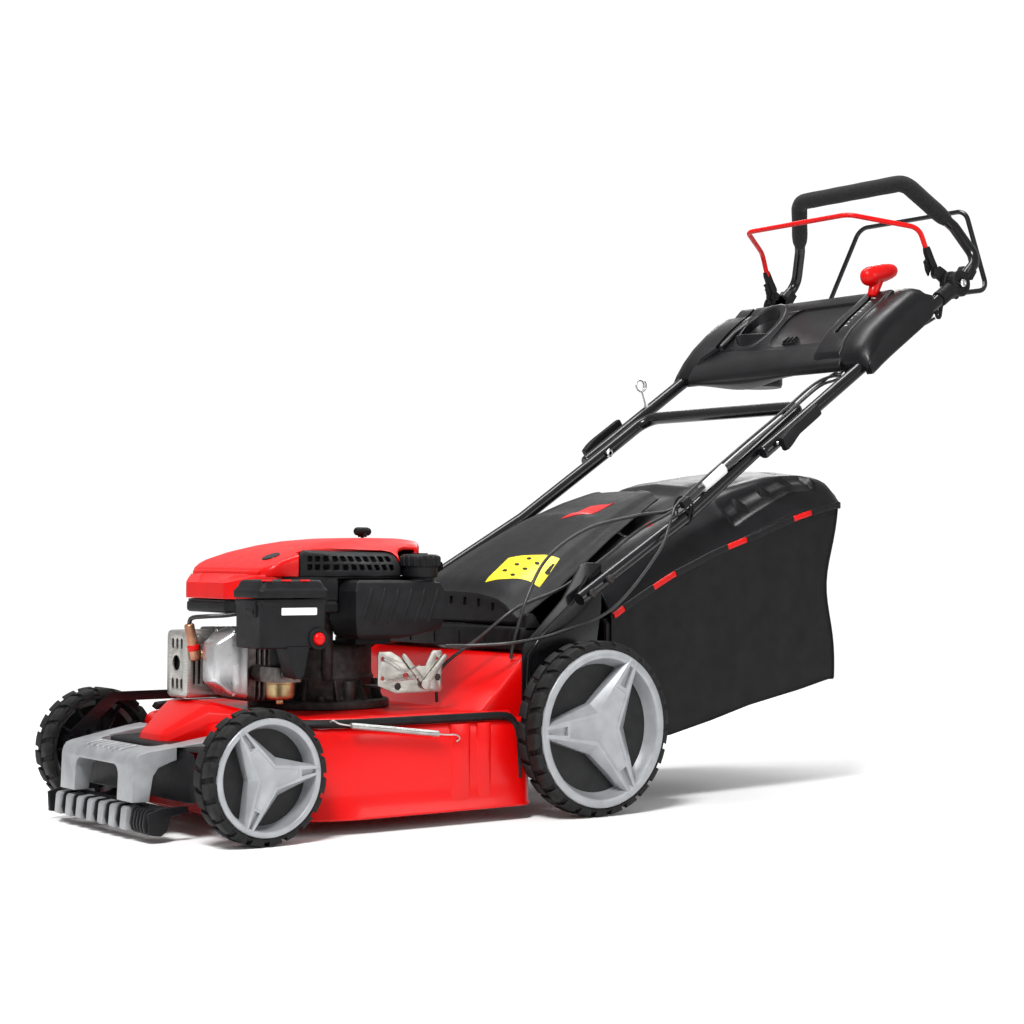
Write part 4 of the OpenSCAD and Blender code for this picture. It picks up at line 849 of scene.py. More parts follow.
def build_cooling_grille_plate():
    grille = Shape()
    xs = [138.5, 142, 150, 160, 175, 190, 205, 220, 235, 250, 265, 280, 290, 296, 299.5]
    rows_out, rows_in = [], []
    for x in xs:
        edge = min(x - 134, 304 - x)
        z_top = min(388 - 0.02 * (x - 150), 374 + 4.2 * math.sqrt(max(edge - 4, 0)) if edge < 18 else 400)
        zs = [351 + (z_top - 351) * k / 8 for k in range(9)]
        rows_out.append([V(x, flank_y(x, z), z) for z in zs])
        rows_in.append([V(x, flank_y(x, z) + 4.5, z) for z in zs])
    grille.rings([a + b[::-1] for a, b in zip(rows_out, rows_in)])
    slots = Shape()
    for row in range(2):
        for i in range(11):
            x, z = 151 + i * 12.8, 359.5 + row * 12
            slots.prism_y(round_rect(x, x + 8.6, z, z + 8.4, 1.6, 3), -145, -88)
    make("cooling_grille_plate", grille, [BLACK_PLASTIC], "chassis", ["blower_housing"], cuts=[slots],
         smooth=50, bevel=(0.5, 1), angle=50)


def build_cooling_grille_backing():
    backing = Shape().box((140, -96.5, 352), (299, -94.5, 384))
    make("cooling_grille_backing", backing, [BLACK_PLASTIC], "chassis", ["blower_housing"],
         cuts=[Shape().prism_z(circle(*FILLER, 42, 48), 340, 400)])


# crankcase, cylinder and head
def build_crankcase_casting():
    case = Shape()
    case.lathe([(62, 158.2), (104, 158.2), (104.5, 160), (104.5, 167), (103, 170), (84, 171.5), (81, 174),
                (80, 178), (80, 198), (81.5, 203), (79, 206), (78, 214), (78, 246), (75, 252), (62, 252)],
               (CRANK_X, 0, 0), (0, 0, 1), 72, loop=True)
    for k in range(12):
        a = math.radians(15 + 30 * k)
        c, s = math.cos(a), math.sin(a)
        case.rings([[V(CRANK_X + r * c - w * s, r * s + w * c, z)
                     for r, z in ((79, 171), (98, 171), (84, 200), (79, 200))] for w in (-2.2, 2.2)])
    for k in range(6):
        a = math.radians(30 + 60 * k)
        case.lathe([(8.5, 158.2), (8.5, 196), (7, 198.5), (0.2, 198.5)],
                   (CRANK_X + 84 * math.cos(a), 84 * math.sin(a), 0), (0, 0, 1), 24)
    for y in (-70, 70):
        case.lathe([(9, 200), (9, 298)], (210, y, 0), (0, 0, 1), 24)
    make("crankcase_casting", case, [CAST_IRON], "chassis", ["crankcase"], bevel=(1.2, 2), smooth=40)


def build_cylinder_fins_and_head():
    barrel = Shape()
    barrel.lathe([(33, 84), (41, 84), (41, 168), (33, 168)], (0, 0, 222), (1, 0, 0), 48, loop=True)
    for k in range(9):
        x = 96 + k * 8
        barrel.prism_x(round_rect(-58, 58, 172, 276, 9, 4), x, x + 3.2)
    barrel.prism_x(round_rect(-62, 62, 176, 276, 7, 4), 74.4, 94)
    bore = Shape().rod(V(90, 0, 222), V(190, 0, 222), 65, 48)
    make("cylinder_fins_and_head", barrel, [CAST_ALLOY], "chassis", ["crankcase"], bevel=(0.8, 2),
         smooth=40, cuts=[bore])


def build_valve_cover_casting():
    valve = Shape()
    steps = ((74, (-80, -20, 179, 279)), (72.5, (-80, -20, 179, 279)), (70, (-79, -21, 180, 278)),
             (62, (-78.4, -21.6, 181, 277)), (52, (-78, -22, 184, 273)), (49, (-77, -23, 185.5, 271)),
             (36, (-71, -28, 196, 262)), (31, (-69, -30, 199, 259)), (28, (-66, -33, 203, 255)))
    valve.rings([[V(x, y, z) for y, z in round_rect(b[0], b[1], b[2], b[3], 6, 3)] for x, b in steps])
    for z in (213, 243):
        valve.rings([[V(x, y, zz) for x, zz in ((58, z - 4.4), (27.4, z - 3.4), (25.8, z), (27.4, z + 3.4),
                                                (58, z + 4.4))] for y in (-76, -70, -29, -24)])
    make("valve_cover_casting", valve, [ALLOY_BRIGHT], "chassis", ["valve_cover"], bevel=(1.0, 2),
         smooth=32, cuts=[Shape().box((58.5, -72, 191), (82, -28, 267))])


def build_valve_cover_screws():
    screws = Shape()
    for y, z in ((-74, 186), (-74, 272), (-26, 186), (-26, 272)):
        screws.lathe([(0.2, 52.6), (3.6, 52.6), (4.2, 53.4), (4.2, 58), (0.2, 58)], (0, y, z), (1, 0, 0), 6)
    make("valve_cover_screws", screws, [STEEL], "chassis", ["valve_cover"], bevel=(0.4, 1))


def build_muffler_heat_guard():
    guard = Shape()
    guard.rings([[V(x, y, z) for y, z in round_rect(-3.6 + t, 57.6 - t, 176.4 + t, 272.6 - t, 7, 4)]
                 for x, t in ((74, 0), (24, 0), (20, 1.2), (18.2, 4))])
    cuts = [Shape().box((21, -1.4, 179), (80, 55.4, 270)),
            Shape().rod(V(10, 27, 226), V(30, 27, 226), 22, 40)]
    slits = Shape()
    for i in range(3):
        for z in (189, 246):
            slits.prism_x(round_rect(8 + i * 13, 15 + i * 13, z, z + 15, 3, 3), 10, 30)
    side = Shape()
    for i in range(5):
        side.prism_y(round_rect(29 + i * 8, 33 + i * 8, 196, 252, 1.8, 3), -12, 2)
    make("muffler_heat_guard", guard, [BRUSHED], "chassis", ["muffler_guard"], bevel=(0.6, 2), smooth=40,
         cuts=cuts + [slits, side])


def build_muffler_can():
    can = Shape()
    can.rings([[V(x, y, z) for y, z in round_rect(1 + t, 53 - t, 184.5 + t, 269 - t, 14, 5)]
               for x, t in ((26.5, 5), (29, 1.5), (34, 0), (46, 0), (47, -1), (49, -1), (50, 0), (64, 0),
                            (69, 3))])
    can.rod(V(66, 20, 226), V(73.8, 20, 226), 26)
    make("muffler_can", can, [CAST_IRON], "chassis", ["muffler"], bevel=(0.8, 2), smooth=40)


def build_spark_plug_boot():
    plug = Shape()
    plug.rod(V(88, -12, 248.6), V(66, -12, 240.6), 11, 24, 0.8)
    plug.use(1).rod(V(64, -12, 239), V(34, -12, 239), 13.5, 28, 1.4)
    plug.use(1).rod(V(28.2, -12, 231), V(17, -12, 283), 14.5, 28, 2)
    plug.use(2).lathe([(7.6, 14), (8.6, 15), (8.6, 22), (7.6, 23)], (28.2, -12, 231), (-11.2, 0, 52), 28,
                      loop=True)
    make("spark_plug_boot", plug, [STEEL, COPPER, RED_PLASTIC], "chassis", ["spark_plug"], smooth=40,
         bevel=(0.4, 1))


def build_ignition_lead():
    lead = Shape()
    lead.tube(spline([V(17.6, -12, 281), V(17, -20, 291), V(26, -44, 294), V(52, -62, 296),
                      V(80, -72, 301)]), 6.4, 14, up=(1, 0.3, 0.2))
    make("ignition_lead", lead, [RUBBER], "chassis", ["spark_plug"], smooth=60)


# tank with diagonal pressed ribs, cap with a knurled rim
def build_fuel_tank_body():
    tank = Shape()
    tank.hull([V(x, y, z) for x0, x1, y0, y1, z0, z1, c in ((200, 354, -162, -92, 290, 330, 3),
                                                            (206, 306, -156, -94, 268, 342, 2),
                                                            (212, 282, -152, -96, 262, 346, 2),
                                                            (300, 350, -156, -94, 274, 342, 2))
               for x in (x0, x1) for y in (y0, y1) for z in (z0, z1)])
    make("fuel_tank_body", tank, [BLACK_PLASTIC], "chassis", ["fuel_tank"], bevel=(3.6, 4), smooth=50,
         angle=9)


def build_fuel_tank_ribs_and_neck():
    parts = Shape()
    for k in range(6):
        x = 228 + k * 23
        path = [V(x, -162.2 + (0.0 if 0 < j < 6 else 1.8), 334 - j * 8.2) - V(j * 3.2, 0, 0)
                for j in range(7)]
        parts.sweep(path, [(-3.4, -1), (-2.4, 1.4), (2.4, 1.4), (3.4, -1)], up=(0, -1, 0))
    parts.lathe([(17.5, 338), (25, 338), (25, 343), (22, 345), (22, 350), (20.6, 351), (20.6, 353.2),
                 (22, 354), (22, 364), (17.5, 364)], (*FILLER, 0), (0, 0, 1), 48, loop=True)
    parts.box((230, -116, 252.3), (290, -60, 263))
    make("fuel_tank_ribs_and_neck", parts, [BLACK_PLASTIC], "chassis", ["fuel_tank"], bevel=(0.8, 2),
         smooth=45)


def build_fuel_cap_knurled():
    cap = Shape()
    cap.lathe([(22.6, 349.6), (25.4, 349.6), (26.2, 351), (26.2, 364), (28.5, 366), (28.8, 378),
               (27.6, 381.4), (24, 383.2), (14, 383.4), (12.6, 382.6), (0.2, 382.4), (0.2, 365),
               (22.6, 364.2)], (*FILLER, 0), (0, 0, 1), 72)
    for k in range(18):
        a = 2 * math.pi * k / 18
        cap.lathe([(0.2, 365.4), (2.2, 365.4), (2.9, 367), (2.9, 377.6), (1.8, 380.4), (0.2, 381)],
                  (FILLER[0] + 27.8 * math.cos(a), FILLER[1] + 27.8 * math.sin(a), 0), (0, 0, 1), 14)
    cap.rings([[V(FILLER[0] + u, FILLER[1] + v, z) for u, v in round_rect(-13, 13, -3.4, 3.4, 3, 4)]
               for z in (382, 385)])
    make("fuel_cap_knurled", cap, [BLACK_PLASTIC], "fuel_cap", ["fuel_cap"], bevel=(0.5, 1), smooth=45)


# air filter box, lid, snorkel and primer
def build_air_filter_box_body():
    box = Shape()
    box.rings([[V(x, y, z) for x, y in round_rect(30.4 + t, 134.6 - t, -189.6 + t, -118.4 - t, 5, 4)]
               for z, t in ((253.4, 4), (255, 1.2), (258, 0.4), (312, 0), (313.5, -1), (320.6, -1))])
    make("air_filter_box_body", box, [BLACK_PLASTIC], "chassis", ["air_filter_box"], bevel=(1.0, 2),
         smooth=40, cuts=[Shape().box((35, -185, 257), (130, -123, 330))])


def build_air_filter_box_fittings():
    box = Shape()
    box.prism_y(((72, 256), (82, 222), (86, 213), (92, 211), (98, 216), (107, 256)), -190.4, -157)
    box.prism_y(((27.6, 296), (27.6, 319), (41, 321), (41, 296)), -178, -146)
    box.prism_y(((26, 300), (25.6, 306), (27.8, 308), (28, 300)), -174, -150)
    box.lathe([(15, -147), (15.6, -150), (15.6, -191), (14.6, -192.2), (10.2, -192.2), (9.1, -191.2),
               (9.1, -172), (5, -172), (5, -147)], PRIMER, (0, 1, 0), 40, loop=True)
    box.lathe([(10.3, 226), (14, 226), (14, 254), (10.3, 254)], (98, -125, 0), (0, 0, 1), 32, loop=True)
    make("air_filter_box_fittings", box, [BLACK_PLASTIC], "chassis", ["air_filter_box"], bevel=(1.0, 2),
         smooth=40)


def build_filter_box_label_blank():
    label = Shape()
    label.prism_y(round_rect(62, 118, 299, 309, 1.2, 3), -190.3, -189.4)
    make("filter_box_label_blank", label, [WHITE], "chassis", ["air_filter_box"], smooth=40)


def build_air_filter_lid_moulding():
    lid = Shape()
    lid.rings([[V(x, y, z) for x, y in round_rect(26 + t, 137 - t, -195 + t, -115 - t, 9, 5)]
               for z, t in ((322.2, 1.2), (323.4, 0.2), (332, 0.2), (333.6, 1.4), (338, 4.6), (344, 6.6),
                            (346.4, 9), (347, 14))])
    for k in range(5):
        x = 44 + k * 17
        lid.prism_x(((-188, 340), (-186, 347), (-124, 347), (-122, 340)), x, x + 3)
    lid.use(1)
    for x0 in (32, 62, 92):
        lid.prism_z(((x0, -188.6), (x0 + 16, -188.6), (x0 + 18, -184), (x0 + 2, -184)), 345, 347.3)
    make("air_filter_lid_moulding", lid, [BLACK_PLASTIC, RED_PLASTIC], "air_filter_lid",
         ["air_filter_lid"], bevel=(0.8, 2), smooth=40,
         cuts=[Shape().box((34, -186, 318), (130, -124, 339))])


def build_primer_bulb_rubber():
    bulb = Shape()
    bulb.lathe([(0.2, -182), (8.9, -182), (8.9, -191), (8.9, -192.4), (8.6, -193.6), (7.6, -195.2),
                (6.0, -196.4), (3.6, -197.2), (0.2, -197.5)], PRIMER, (0, 1, 0), 36)
    make("primer_bulb_rubber", bulb, [RED_PLASTIC], "primer_bulb", ["primer_bulb"], smooth=60)


# carburettor, governor plate and levers
def build_carburettor_body():
    carb = Shape()
    carb.prism_z(round_rect(77, 121, -149, -105, 5, 4), 204.5, 225.5)
    carb.rod(V(98, -110, 214), V(98, -62, 214), 24, 32, 1)
    carb.rod(V(92, -149, 216), V(92, -154, 216), 14, 28, 1)
    carb.rod(V(108, -149, 211), V(108, -155, 211), 7, 6, 0.6)
    carb.use(1)
    carb.lathe([(0.2, 180), (13, 180), (18.5, 182.5), (20, 187), (20, 202), (21.4, 202.6), (21.4, 204.6),
                (0.2, 204.6)], BOWL, (0, 0, 1), 48)
    carb.lathe([(0.2, 173.6), (5, 173.6), (5.6, 174.6), (5.6, 180), (0.2, 180)], BOWL, (0, 0, 1), 6)
    make("carburettor_body", carb, [CAST_ALLOY, BRASS], "chassis", ["carburettor"], bevel=(0.7, 2),
         smooth=40, slot="brass")


def build_governor_plate():
    gov = Shape()
    plate = [(238, 196), (238, 240), (240, 244), (260, 244), (264, 242), (300, 222), (320, 222), (331, 242),
             (334, 244), (347, 244), (350, 241), (350, 187), (347, 184), (268, 184)]
    gov.prism_y(plate, -162, -159.8)
    holes = Shape()
    for x, z, d in ((246, 234, 6), (246, 206, 6), (272, 194, 7), (342, 205, 6), (318, 196, 6.2),
                    (286, 208, 10), (341, 232, 5)):
        holes.prism_y(circle(x, z, d / 2, 20), -170, -150)
    make("governor_plate", gov, [YELLOW_ZINC], "chassis", ["governor_bracket"], bevel=(0.5, 2), smooth=35,
         cuts=[holes])


def build_governor_links():
    links = Shape()
    links.prism_y([(262, 190), (296, 190), (296, 192.4), (262, 192.4)], -160, -79)
    links.rod(V(272, -163, 194), V(272, -159, 194), 12, 6, 0.8)
    links.rod(V(342, -162.9, 205), V(342, -159, 205), 11, 6, 0.8)
    links.use(1)
    links.tube(spline([V(246, -161, 234), V(248, -166.6, 233), V(262, -167.2, 228), V(284, -167.2, 216),
                       V(306, -167.2, 224)]), 1.8, 8, up=(0, 1, 0))
    coil = [V(252 + k * 0.62, -169.6 + 2.6 * math.cos(k * 1.05), 203 + 2.6 * math.sin(k * 1.05) + k * 0.05)
            for k in range(84)]
    links.tube(coil, 1.1, 6, up=(0, 1, 0.1))
    make("governor_links", links, [CAST_IRON, STEEL], "chassis", ["governor_bracket"], smooth=40,
         slot="steel")


def build_throttle_lever_plates():
    throttle = Shape()
    throttle.rod(V(318, -166, 196), V(318, -158.2, 196), 6, 24)
    throttle.rod(V(318, -168, 196), V(318, -165.2, 196), 16, 32, 0.6)
    for tilt, w, length in ((42, 5.6, 55), (-42, 4.6, 59)):
        a = math.radians(tilt)
        blade_outline = [(-w, 0), (w, 0), (w * 0.8, length - 5), (w * 0.5, length), (-w * 0.5, length),
                         (-w * 0.8, length - 5)]
        throttle.prism_y([(318 + u * math.cos(a) + v * math.sin(a),
                           196 - u * math.sin(a) + v * math.cos(a)) for u, v in blade_outline], -165,
                         -163.2)
    make("throttle_lever_plates", throttle, [YELLOW_ZINC], "throttle_lever", ["throttle_lever"],
         bevel=(0.5, 2), smooth=35)


def build_starter_rope_grip():
    grip = Shape()
    grip.rod(V(*STARTER, 396), V(*STARTER, 413), 5, 20)
    grip.lathe([(2.5, 409), (6.4, 409), (7, 410), (7, 414), (5, 416), (2.5, 416)], (*STARTER, 0),
               (0, 0, 1), 32)
    a = math.radians(25)
    direction = V(math.cos(a), math.sin(a), 0)
    profile = [(0.2, -19), (4.6, -18.8), (6.2, -16), (6.5, -10), (5.9, -4), (5.7, 0), (5.9, 4), (6.5, 10),
               (6.2, 16), (4.6, 18.8), (0.2, 19)]
    grip.lathe(profile, (*STARTER, 417.6), direction, 32)
    for d in (-12, -8, -4, 0, 4, 8, 12):
        grip.lathe([(5.4, d - 0.9), (6.7, d - 0.6), (6.7, d + 0.6), (5.4, d + 0.9)], (*STARTER, 417.6),
                   direction, 32, loop=True)
    make("starter_rope_grip", grip, [BLACK_PLASTIC], "starter_grip", ["starter_grip"], smooth=45,
         bevel=(0.3, 1))


# ---- frame of the handle ----
def build_lower_handle_tube():
    lower = [V(556, -223.4, 317.6), V(783, -210, 446), V(CLAMP_X, -200, CLAMP_Z), V(1058, -196, 632)]
    path = bent(lower + mirrored(reversed(lower)), 34, 9)
    tube = Shape().tube(path, 22, 28, up=(-0.55, 0, 0.83),
                        scale=[0.94 if i in (0, len(path) - 1) else 1 for i in range(len(path))])
    make("lower_handle_tube", tube, [BLACK_PAINT], "chassis", ["lower_handle"], smooth=50)


def build_handle_bracket_plates():
    bracket = Shape()
    outline = [(462, 160), (462, 246), (465, 251), (536, 317), (543, 326), (569, 366), (575, 371),
               (580, 372), (606, 372), (611, 370), (612, 364), (612, 304), (589, 163), (586, 160)]
    for sy in (-1, 1):
        bracket.prism_y(outline, sy * 205.2, sy * 208.6)
        bracket.sweep([V(470, sy * 209.4, 172), V(472, sy * 210.4, 236), V(504, sy * 210.4, 270),
                       V(556, sy * 210.2, 312), V(584, sy * 210, 352)],
                      [(-3.5, -1), (-2, 1.1), (2, 1.1), (3.5, -1)], up=(0, sy, 0))
    make("handle_bracket_plates", bracket, [BLACK_PAINT], "chassis", ["handle_brackets"], bevel=(0.8, 2),
         smooth=40)


def build_frame_bolt_heads():
    bolts = Shape()
    for sy in (-1, 1):
        for x, z in ((480, 195), (560, 195)):
            bolts.rod(V(x, sy * 208.6, z), V(x, sy * 209.8, z), 17, 32)
            bolts.lathe([(0.2, 209.8), (7.3, 209.8), (7.3, 214.6), (6.4, 215.4), (0.2, 215.4)], (x, 0, z),
                        (0, sy, 0), 6)
            bolts.rod(V(x, sy * 199, z), V(x, sy * 205, z), 8)
        for x, z in ((572, 327), (606, 348)):
            bolts.rod(V(x, sy * 204, z), V(x, sy * 235, z), 8)
            bolts.lathe([(0.2, 234.7), (6.6, 234.7), (6.6, 238.2), (5.6, 239.6), (3, 240.2), (0.2, 240.3)],
                        (x, 0, z), (0, sy, 0), 32)
    for k in range(3):
        a = math.radians(120 * k)
        x, y = CRANK_X + 88 * math.cos(a), 88 * math.sin(a)
        bolts.rod(V(x, y, 151), V(x, y, 171), 8)
        bolts.rod(V(x, y, 170.2), V(x, y, 172), 17, 32)
        bolts.lathe([(0.2, 172), (7.4, 172), (7.4, 177), (6.4, 178), (0.2, 178)], (x, y, 0), (0, 0, 1), 6)
    make("frame_bolt_heads", bolts, [CAST_IRON], "chassis", ["frame_bolts"], bevel=(0.5, 2), smooth=35)


def build_upper_handle_tubes():
    upper = Shape()
    for sy in (-1, 1):
        path = [on_tube(s, sy * 224, 0) for s in (-30, -28, -26, 40, 120, 200, 280, 360, 440, 500, 518.6)]
        upper.tube(path, 22, 28, up=(0, 1, 0.1), scale=[0.8, 0.94, 1] + [1] * 8)
    make("upper_handle_tubes", upper, [BLACK_PAINT], "upper_handle", ["upper_handle"], smooth=50)


# wire guide for the starter rope, clamped to the right tube
def build_rope_guide_wire():
    guide = Shape()
    base = on_tube(150, 224, 11)
    loop = [base + V(0, -2, -6), base + V(-3, 1, 10), base + V(-6, 2, 20)]
    for i in range(27):
        a = -0.9 + 2 * math.pi * i / 20
        loop.append(base + V(-14 + 10.5 * math.cos(a), 3 - i * 0.32, 36 + 10.5 * math.sin(a)))
    guide.tube(spline(loop, 3), 3.2, 10, up=(0, 1, 0.1))
    guide.rod(base + V(0, -2, -3), base + V(-0.8, -1.2, 3), 9, 6)
    make("rope_guide_wire", guide, [STEEL], "upper_handle", smooth=50)


# clamp levers, with a cam head and a flat curved arm along the tube
def build_clamp_levers():
    for sy, word in ((-1, "left"), (1, "right")):
        lever = Shape()
        table = [(-4, 11, 8), (0, 11.6, 9), (10, 11.8, 9), (22, 10.8, 8), (34, 9.6, 7), (52, 9.4, 6.6),
                 (72, 9.6, 6.6), (90, 10, 6.6), (97, 9.6, 6), (98.5, 8, 4.8)]
        rows = []
        for s, half, thick in table:
            mid = 248 + 2.6 * math.sin(min(max(s / 98, 0), 1) * math.pi)
            rise = 6 * min(max(s / 30, 0), 1)
            rows.append([on_tube(s, sy * y, n + rise)
                         for y, n in round_rect(mid - thick * 0.72, mid + thick * 0.72, -half, half, 2, 3)])
        lever.rings(rows)
        lever.rod(on_tube(0, sy * 246, -12.6), on_tube(0, sy * 246, 12.6), 7, 20, 0.6)
        make(f"clamp_lever_{word}_arm", lever, [BLACK_PLASTIC], f"clamp_lever_{word}",
             [f"clamp_lever_{word}"], bevel=(0.8, 2), smooth=45)


def build_clamp_and_pivot_bolts():
    pins = Shape()
    for sy in (-1, 1):
        pins.rod(V(CLAMP_X, sy * 184, CLAMP_Z), V(CLAMP_X, sy * 239.6, CLAMP_Z), 8)
        pins.lathe([(0.2, 184), (7.5, 184), (8, 185), (8, 188), (0.2, 188)], (CLAMP_X, 0, CLAMP_Z),
                   (0, sy, 0), 6)
        pins.rod(V(GRIP_X, sy * 201, GRIP_Z), V(GRIP_X, sy * 240, GRIP_Z), 8)
        pins.lathe([(0.2, 236.6), (7.4, 236.6), (7.4, 238.2), (6, 240.6), (2.6, 241), (2.2, 239.6),
                    (0.2, 239.6)], (GRIP_X, 0, GRIP_Z), (0, sy, 0), 32)
    make("clamp_and_pivot_bolts", pins, [CHROME], "upper_handle", ["clamp_bolts"], bevel=(0.4, 2),
         smooth=35)


# ---- console ----
def hull_in_handle(shape, boxes):
    shape.hull([on_tube(s, y, n) for lo, hi in boxes for s in (lo[0], hi[0]) for y in (lo[1], hi[1])
                for n in (lo[2], hi[2])])


def handle_box(lo, hi):
    s = Shape()
    hull_in_handle(s, [(lo, hi)])
    return s


def tube_tunnels():
    made = []
    for sy in (-1, 1):
        made.append(Shape().rod(on_tube(200, sy * 224, 0), on_tube(500, sy * 224, 0), 22.4, 40))
        y0, y1 = sorted((sy * 212.8, sy * 235.2))
        made.append(handle_box((200, y0, -40), (500, y1, 0)))
    return made


CUP = (1240, 92, 700)


def build_console_middle():
    middle = Shape()
    rows = []
    for s, n0, n1 in ((236, 2, 8), (237.5, 0.5, 13.5), (243, 0.6, 17.5), (252, 1, 21.5), (262, 2, 25.5),
                      (276, 2.6, 28.4), (330, 6, 38), (380, 10, 46.4), (405, 12, 51.4), (420, 13, 54.4),
                      (426.5, 16, 55), (428, 20, 52)):
        ring = []
        for y, n in round_rect(-189, 189, n0, n1, 3.2, 3):
            ring.append(on_tube(s, y, n))
        rows.append(ring)
    middle.rings(rows)
    hollow = Shape()
    hull_in_handle(hollow, [((262, -172, 4), (270, 172, 12)), ((276, -172, 12), (284, 172, 17)),
                            ((404, -172, 14), (424, 172, 38))])
    cup_hole = Shape().prism_z(circle(CUP[0], CUP[1], 38.05, 64), 690, 900)
    tray = Shape()
    outline = round_rect(296, 404, -134, 30, (12, 30, 30, 12), 6)
    tray.rings([[on_tube(s, y, 11 + 0.142 * (s - 236) + d) for s, y in outline] for d in (12.4, 40)])
    slot_right = handle_box((300, 146, 10), (436, 154, 90))
    slot_left = handle_box((300, -154, 10), (436, -146, 90))
    make("console_middle", middle, [SATIN_PLASTIC], "upper_handle", ["console"], bevel=(1.6, 3),
         smooth=45, cuts=[hollow, handle_box((255, -172, -20), (455, 172, 10)), cup_hole, tray, slot_left,
                          slot_right, *tube_tunnels()])


def build_cup_holder_sleeve():
    cup = Shape()
    cup.lathe([(38.1, 704), (38.1, 783), (39.2, 787), (41.6, 788), (43, 786.6), (42.4, 783), (42, 776),
               (42, 698), (40, 692.5), (34, 691.6), (0.2, 691.6), (0.2, 704)], (CUP[0], CUP[1], 0),
              (0, 0, 1), 96)
    make("cup_holder_sleeve", cup, [SATIN_PLASTIC], "upper_handle", ["console"], bevel=(0.6, 2), smooth=50)


# raised collar where the cup sleeve leaves the tray
def build_cup_holder_collar():
    collar = Shape()
    console_top = [(236, 13), (262, 25.5), (330, 38), (380, 46.4), (420, 54.4)]
    rows = []
    for extra, lift in ((12, -1.5), (10.5, 1.2), (8, 2.6), (4.6, 3.2), (2.2, 2.8), (0.4, 1.4), (0, None)):
        ring = []
        for i in range(64):
            a = 2 * math.pi * i / 64
            x, y = CUP[0] + (38.4 + extra) * math.cos(a), CUP[1] + (38.4 + extra) * math.sin(a)
            s = (x - CLAMP_X) / math.cos(HANDLE)
            for _ in range(12):
                n = lerp_table(console_top, s)[0]
                s = (x - CLAMP_X + n * math.sin(HANDLE)) / math.cos(HANDLE)
            n = lerp_table(console_top, s)[0]
            top = CLAMP_Z + s * math.sin(HANDLE) + n * math.cos(HANDLE)
            ring.append(V(x, y, 778 if lift is None else top + lift * math.cos(HANDLE)))
        rows.append(ring)
    collar.rings(rows, caps=False)
    make("cup_holder_collar", collar, [SATIN_PLASTIC], "upper_handle", ["console"], smooth=60)


def build_console_front_skirt():
    skirt = Shape()
    rows = []
    for k in range(25):
        y = -120 + k * 12.5
        sag = 22 * math.exp(-((y - 60) / 88) ** 2)
        rows.append([on_tube(236 + a, y, n) for a, n in ((2, 9), (-1.5, 4 - sag * 0.35),
                                                         (3 + sag * 0.15, 1.5 - sag),
                                                         (7 + sag * 0.15, 2 - sag), (26, 0.5 - sag * 0.2),
                                                         (30, 6))])
    skirt.rings(rows)
    make("console_front_skirt", skirt, [SATIN_PLASTIC], "upper_handle", ["console"], bevel=(1.2, 2),
         smooth=60)


def build_console_cable_latch():
    block = Shape()
    block.rings([[on_tube(s, y, n) for s, y in round_rect(300, 318, -42, -12, 2, 3)] for n in (22, 36)])
    for k in range(3):
        block.rings([[on_tube(s, y, n) for s, y in ((301, -40 + k * 10), (317, -40 + k * 10),
                                                    (317, -36 + k * 10), (301, -36 + k * 10))]
                     for n in (35, 40)])
    make("console_cable_latch", block, [BLACK_PLASTIC], "upper_handle", ["console"], bevel=(0.8, 2),
         smooth=40)


def build_console_left_shroud():
    left = Shape()
    table = [(243, -12, 12, -249, -188), (246, -13, 18, -250, -185), (256, -13, 28, -249, -183),
             (276, -12, 37, -248, -182), (304, -12, 46, -246, -181), (340, -12, 50, -245, -180),
             (390, -12, 51, -244, -180), (425, -12, 50.5, -243, -180), (438, -9, 49.6, -243, -180),
             (446, 0, 45, -242, -180), (455, 10, 33, -241, -182), (458, 14, 27, -240, -183)]
    rows = []
    for s, n0, n1, y0, y1 in table:
        ring = []
        h = n1 - n0
        for y, n in ((y0 + 3, n0), (y1, n0), (y1, n1 - 8), (y1 + 2, n1 - 3), (y1 - 4, n1),
                     (y1 - 24, n1 + 0.5), (y0 + 26, n1 - 1), (y0 + 14, n1 - 5), (y0 + 6, n1 - 13),
                     (y0 + 2, n1 - 24 * min(h / 60, 1)), (y0, n0 + 14 * min(h / 40, 1)), (y0, n0 + 4)):
            ring.append(on_tube(s, y, n))
        rows.append(ring)
    left.rings(rows)
    make("console_left_shroud", left, [SATIN_PLASTIC], "upper_handle", ["console"], bevel=(2.2, 3),
         smooth=50, cuts=[*tube_tunnels(), handle_box((300, -154, 10), (436, -146, 90)),
                          handle_box((248, -240, -30), (452, -190, -1))], angle=28)


def build_console_lever_deck():
    deckpad = Shape()
    rows = []
    for s, n1 in ((250, 22), (256, 30), (276, 38.6), (304, 46.6), (340, 50.6), (390, 52), (424, 54.6),
                  (432, 54), (436, 49)):
        rows.append([on_tube(s, y, n) for y, n in ((-184, n1 - 12), (-125, n1 - 12), (-122, n1 - 3),
                                                   (-127, n1 + 0.6), (-181, n1 + 0.4), (-185, n1 - 3))])
    deckpad.rings(rows)
    make("console_lever_deck", deckpad, [SATIN_PLASTIC], "upper_handle", ["console"], bevel=(1.8, 3),
         smooth=50, cuts=[handle_box((300, -154, 0), (436, -146, 90))], angle=28)


